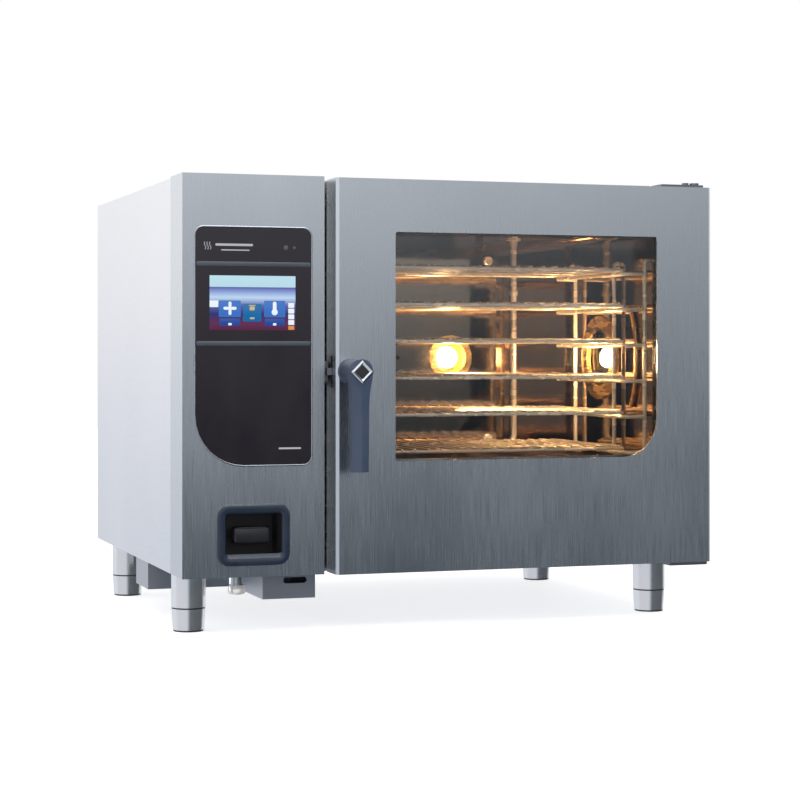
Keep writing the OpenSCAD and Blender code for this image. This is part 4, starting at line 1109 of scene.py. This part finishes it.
for name, place, axis, size in LAMPS:
    bulb = [(r * size, a) for r, a in BULB]
    piece(name + "_bulb", spin(bulb, place, axis, 32), "lamp_glass", "cabinet", material=bulb_glow)
    piece(name + "_socket", spin(SOCKET, place, axis, 32), "lamp_ring", "cabinet")
BOW_R = 179.0
bow = []
for k in range(25):
    a = math.radians(-31.0 + 62.0 * k / 24)
    bow.append((wall_x - 4.5, side_lamp_y - BOW_R * math.cos(a), lamp_z + BOW_R * math.sin(a)))
# The bow is in lamp_ring, whose orange-gold is painted warm lamp light.
piece("drip_bow", wire(bow, 4.5, 12), "lamp_ring", "cabinet", sharp=50)
print("lamps", [entry[0] for entry in LAMPS])

# %% Warm light in the chamber
for name, place, axis, size in LAMPS:
    data = bpy.data.lights.new(name + "_lamp_light", "POINT")
    data.energy = 3.4
    data.color = (1.0, 0.60, 0.26)
    data.shadow_soft_size = 0.024
    warm = bpy.data.objects.new(name + "_lamp_light", data)
    warm.location = TO_FRAME @ (place - axis * 30.0)
    bpy.context.scene.collection.objects.link(warm)
print("warm lights", len(LAMPS))

# %% [markdown]
# ## Fittings in the chamber
# Small things fill a real chamber: the wash pipe that stands in the rear corner, a food probe on
# the right wall, the screws that hold the guide plate, the nut of the fan wheel and a strainer
# over the drain.

# %% Wash pipe and probe
roof_z, ground_z = MOUTH[1][1], MOUTH[0][1]
plate_box = box_mm("fan_baffle")
wash_x, wash_y = plate_box[1].x + 50.0, plate_box[0].y + 30.0
wash = [wire(bend([(wash_x, wash_y, roof_z - 0.5), (wash_x, wash_y, ground_z + 46.0),
                   (wash_x - 16.0, wash_y - 10.0, ground_z + 30.0)], 12.0), 6.5, 16),
        spin([(0.1, 0.0), (15.0, 0.0), (15.0, 2.0), (8.5, 4.0), (8.5, 14.0), (0.1, 14.0)],
             (wash_x, wash_y, roof_z), (0, 0, -1), 32)]
for z in (ground_z + 110.0, roof_z - 110.0):
    wash.append(spin([(0.1, -5.0), (8.6, -5.0), (9.2, -4.0), (9.2, 4.0), (8.6, 5.0), (0.1, 5.0)],
                     (wash_x, wash_y, z), (0, 0, 1), 32))
piece("wash_pipe", joined(wash), "wire_steel", "cabinet", sharp=40)
probe_y, probe_z = side_lamp_y + 130.0, roof_z - 62.0
probe = [spin([(0.1, 0.0), (11.0, 0.0), (11.0, 4.0), (7.0, 6.0), (7.0, 9.0), (0.1, 9.0)],
              (wall_x, probe_y, probe_z), (-1, 0, 0), 6),
         wire([(wall_x - 8.0, probe_y, probe_z), (wall_x - 70.0, probe_y, probe_z)], 2.4, 12)]
piece("air_probe", joined(probe), "wire_steel", "cabinet", sharp=30)
print("wash pipe at", round(wash_x), round(wash_y))


# %% Screw head
def screw(place, axis, r=4.0):
    """A low round screw head with a hexagon socket."""
    return spin([(0.1, 0.0), (r, 0.0), (r, 0.35 * r), (0.86 * r, 0.6 * r), (0.5 * r, 0.66 * r),
                 (0.46 * r, 0.2 * r), (0.1, 0.2 * r)], place, axis, 24)


print("screw head", len(screw((0, 0, 0), (0, 0, 1)).faces), "faces")

# %% [markdown]
# Four round knobs hold the guide plate, so it comes off without a tool. A six-sided nut holds the
# fan wheel and turns with it. Rings on a cross of wire keep scraps out of the drain.

# %% Knobs, fan nut and strainer
knobs = []
for x in (plate_box[0].x + 18.0, plate_box[1].x - 18.0):
    for z in (plate_box[0].z + 20.0, plate_box[1].z - 20.0):
        knobs.append(spin([(0.1, 0.0), (9.0, 0.0), (9.0, 6.0), (7.6, 7.6), (0.1, 7.6)],
                          (x, plate_box[0].y, z), (0, -1, 0), 20))
piece("guide_plate_knobs", joined(knobs), "wire_steel", "cabinet", sharp=30)
wheel_low, wheel_high = box_mm("fan_wheel")
fan_x, fan_z = (wheel_low.x + wheel_high.x) / 2, (wheel_low.z + wheel_high.z) / 2
nut = [spin([(6.2, 0.0), (13.0, 0.0), (13.0, 8.0), (6.2, 8.0)],
            (fan_x, wheel_low.y - 2.0, fan_z), (0, 1, 0), 6)]
piece("fan_nut", joined(nut), "wire_steel", "fan", sharp=30)
pipe_low, pipe_high = box_mm("drain_pipe")
drain_x, drain_y = pipe_high.x - 25.0, 330.0
strainer = [spin([(r, 0.2), (r + 3.0, 0.2), (r + 3.0, 1.8), (r, 1.8)],
                 (drain_x, drain_y, ground_z), (0, 0, 1), 48) for r in (5.0, 12.0, 19.0, 26.0)]
hub = Vector((drain_x, drain_y, ground_z + 1.4))
for turn in range(0, 180, 45):
    reach = 28.0 * Vector((math.cos(math.radians(turn)), math.sin(math.radians(turn)), 0.0))
    strainer.append(wire([hub - reach, hub + reach], 1.2, 6))
piece("drain_strainer", joined(strainer), "wire_steel", "cabinet", sharp=40)
print("knobs", len(knobs))

# %% Collar of the overflow stub
stub = (recess_mid_x, pipe_low.y + 10.3, 57.0)
collar = spin([(8.7, 0.3), (13.5, 0.3), (15.0, 2.0), (15.0, 15.0), (13.5, 17.0), (10.5, 17.0)],
              stub, (0, 0, 1), 40)
piece("overflow_collar", collar, "wire_steel", "cabinet", sharp=40)
print("collar at", [round(v, 1) for v in stub])

# %% [markdown]
# ## Screws outside
# The rear panel and the hinge brackets are held by screws with low round heads.

# %% Outside screws
rear_low, rear_high = box_mm("rear_panel")
rear_screws = []
for x in (22.0, 255.0, 490.0, 725.0, 963.0):
    for z in (rear_low.z + 14.0, rear_high.z - 4.0):
        rear_screws.append(screw((x, rear_high.y, z), (0, 1, 0)))
for z in (300.0, 480.0, 640.0):
    for x in (14.0, 971.0):
        rear_screws.append(screw((x, rear_high.y, z), (0, 1, 0)))
piece("rear_screws", joined(rear_screws), "wire_steel", "cabinet", sharp=30)
hinge_low, hinge_high = box_mm("hinge_brackets")
plate_top = hinge_high.z - 4.0
hinge_screws = [screw((x, y, plate_top), (0, 0, 1), 5.0)
                for x in (hinge_low.x + 14.0, hinge_high.x - 22.0) for y in (66.0, 86.0)]
piece("hinge_screws", joined(hinge_screws), "wire_steel", "cabinet", sharp=30)
print("screws", len(rear_screws), "+", len(hinge_screws))
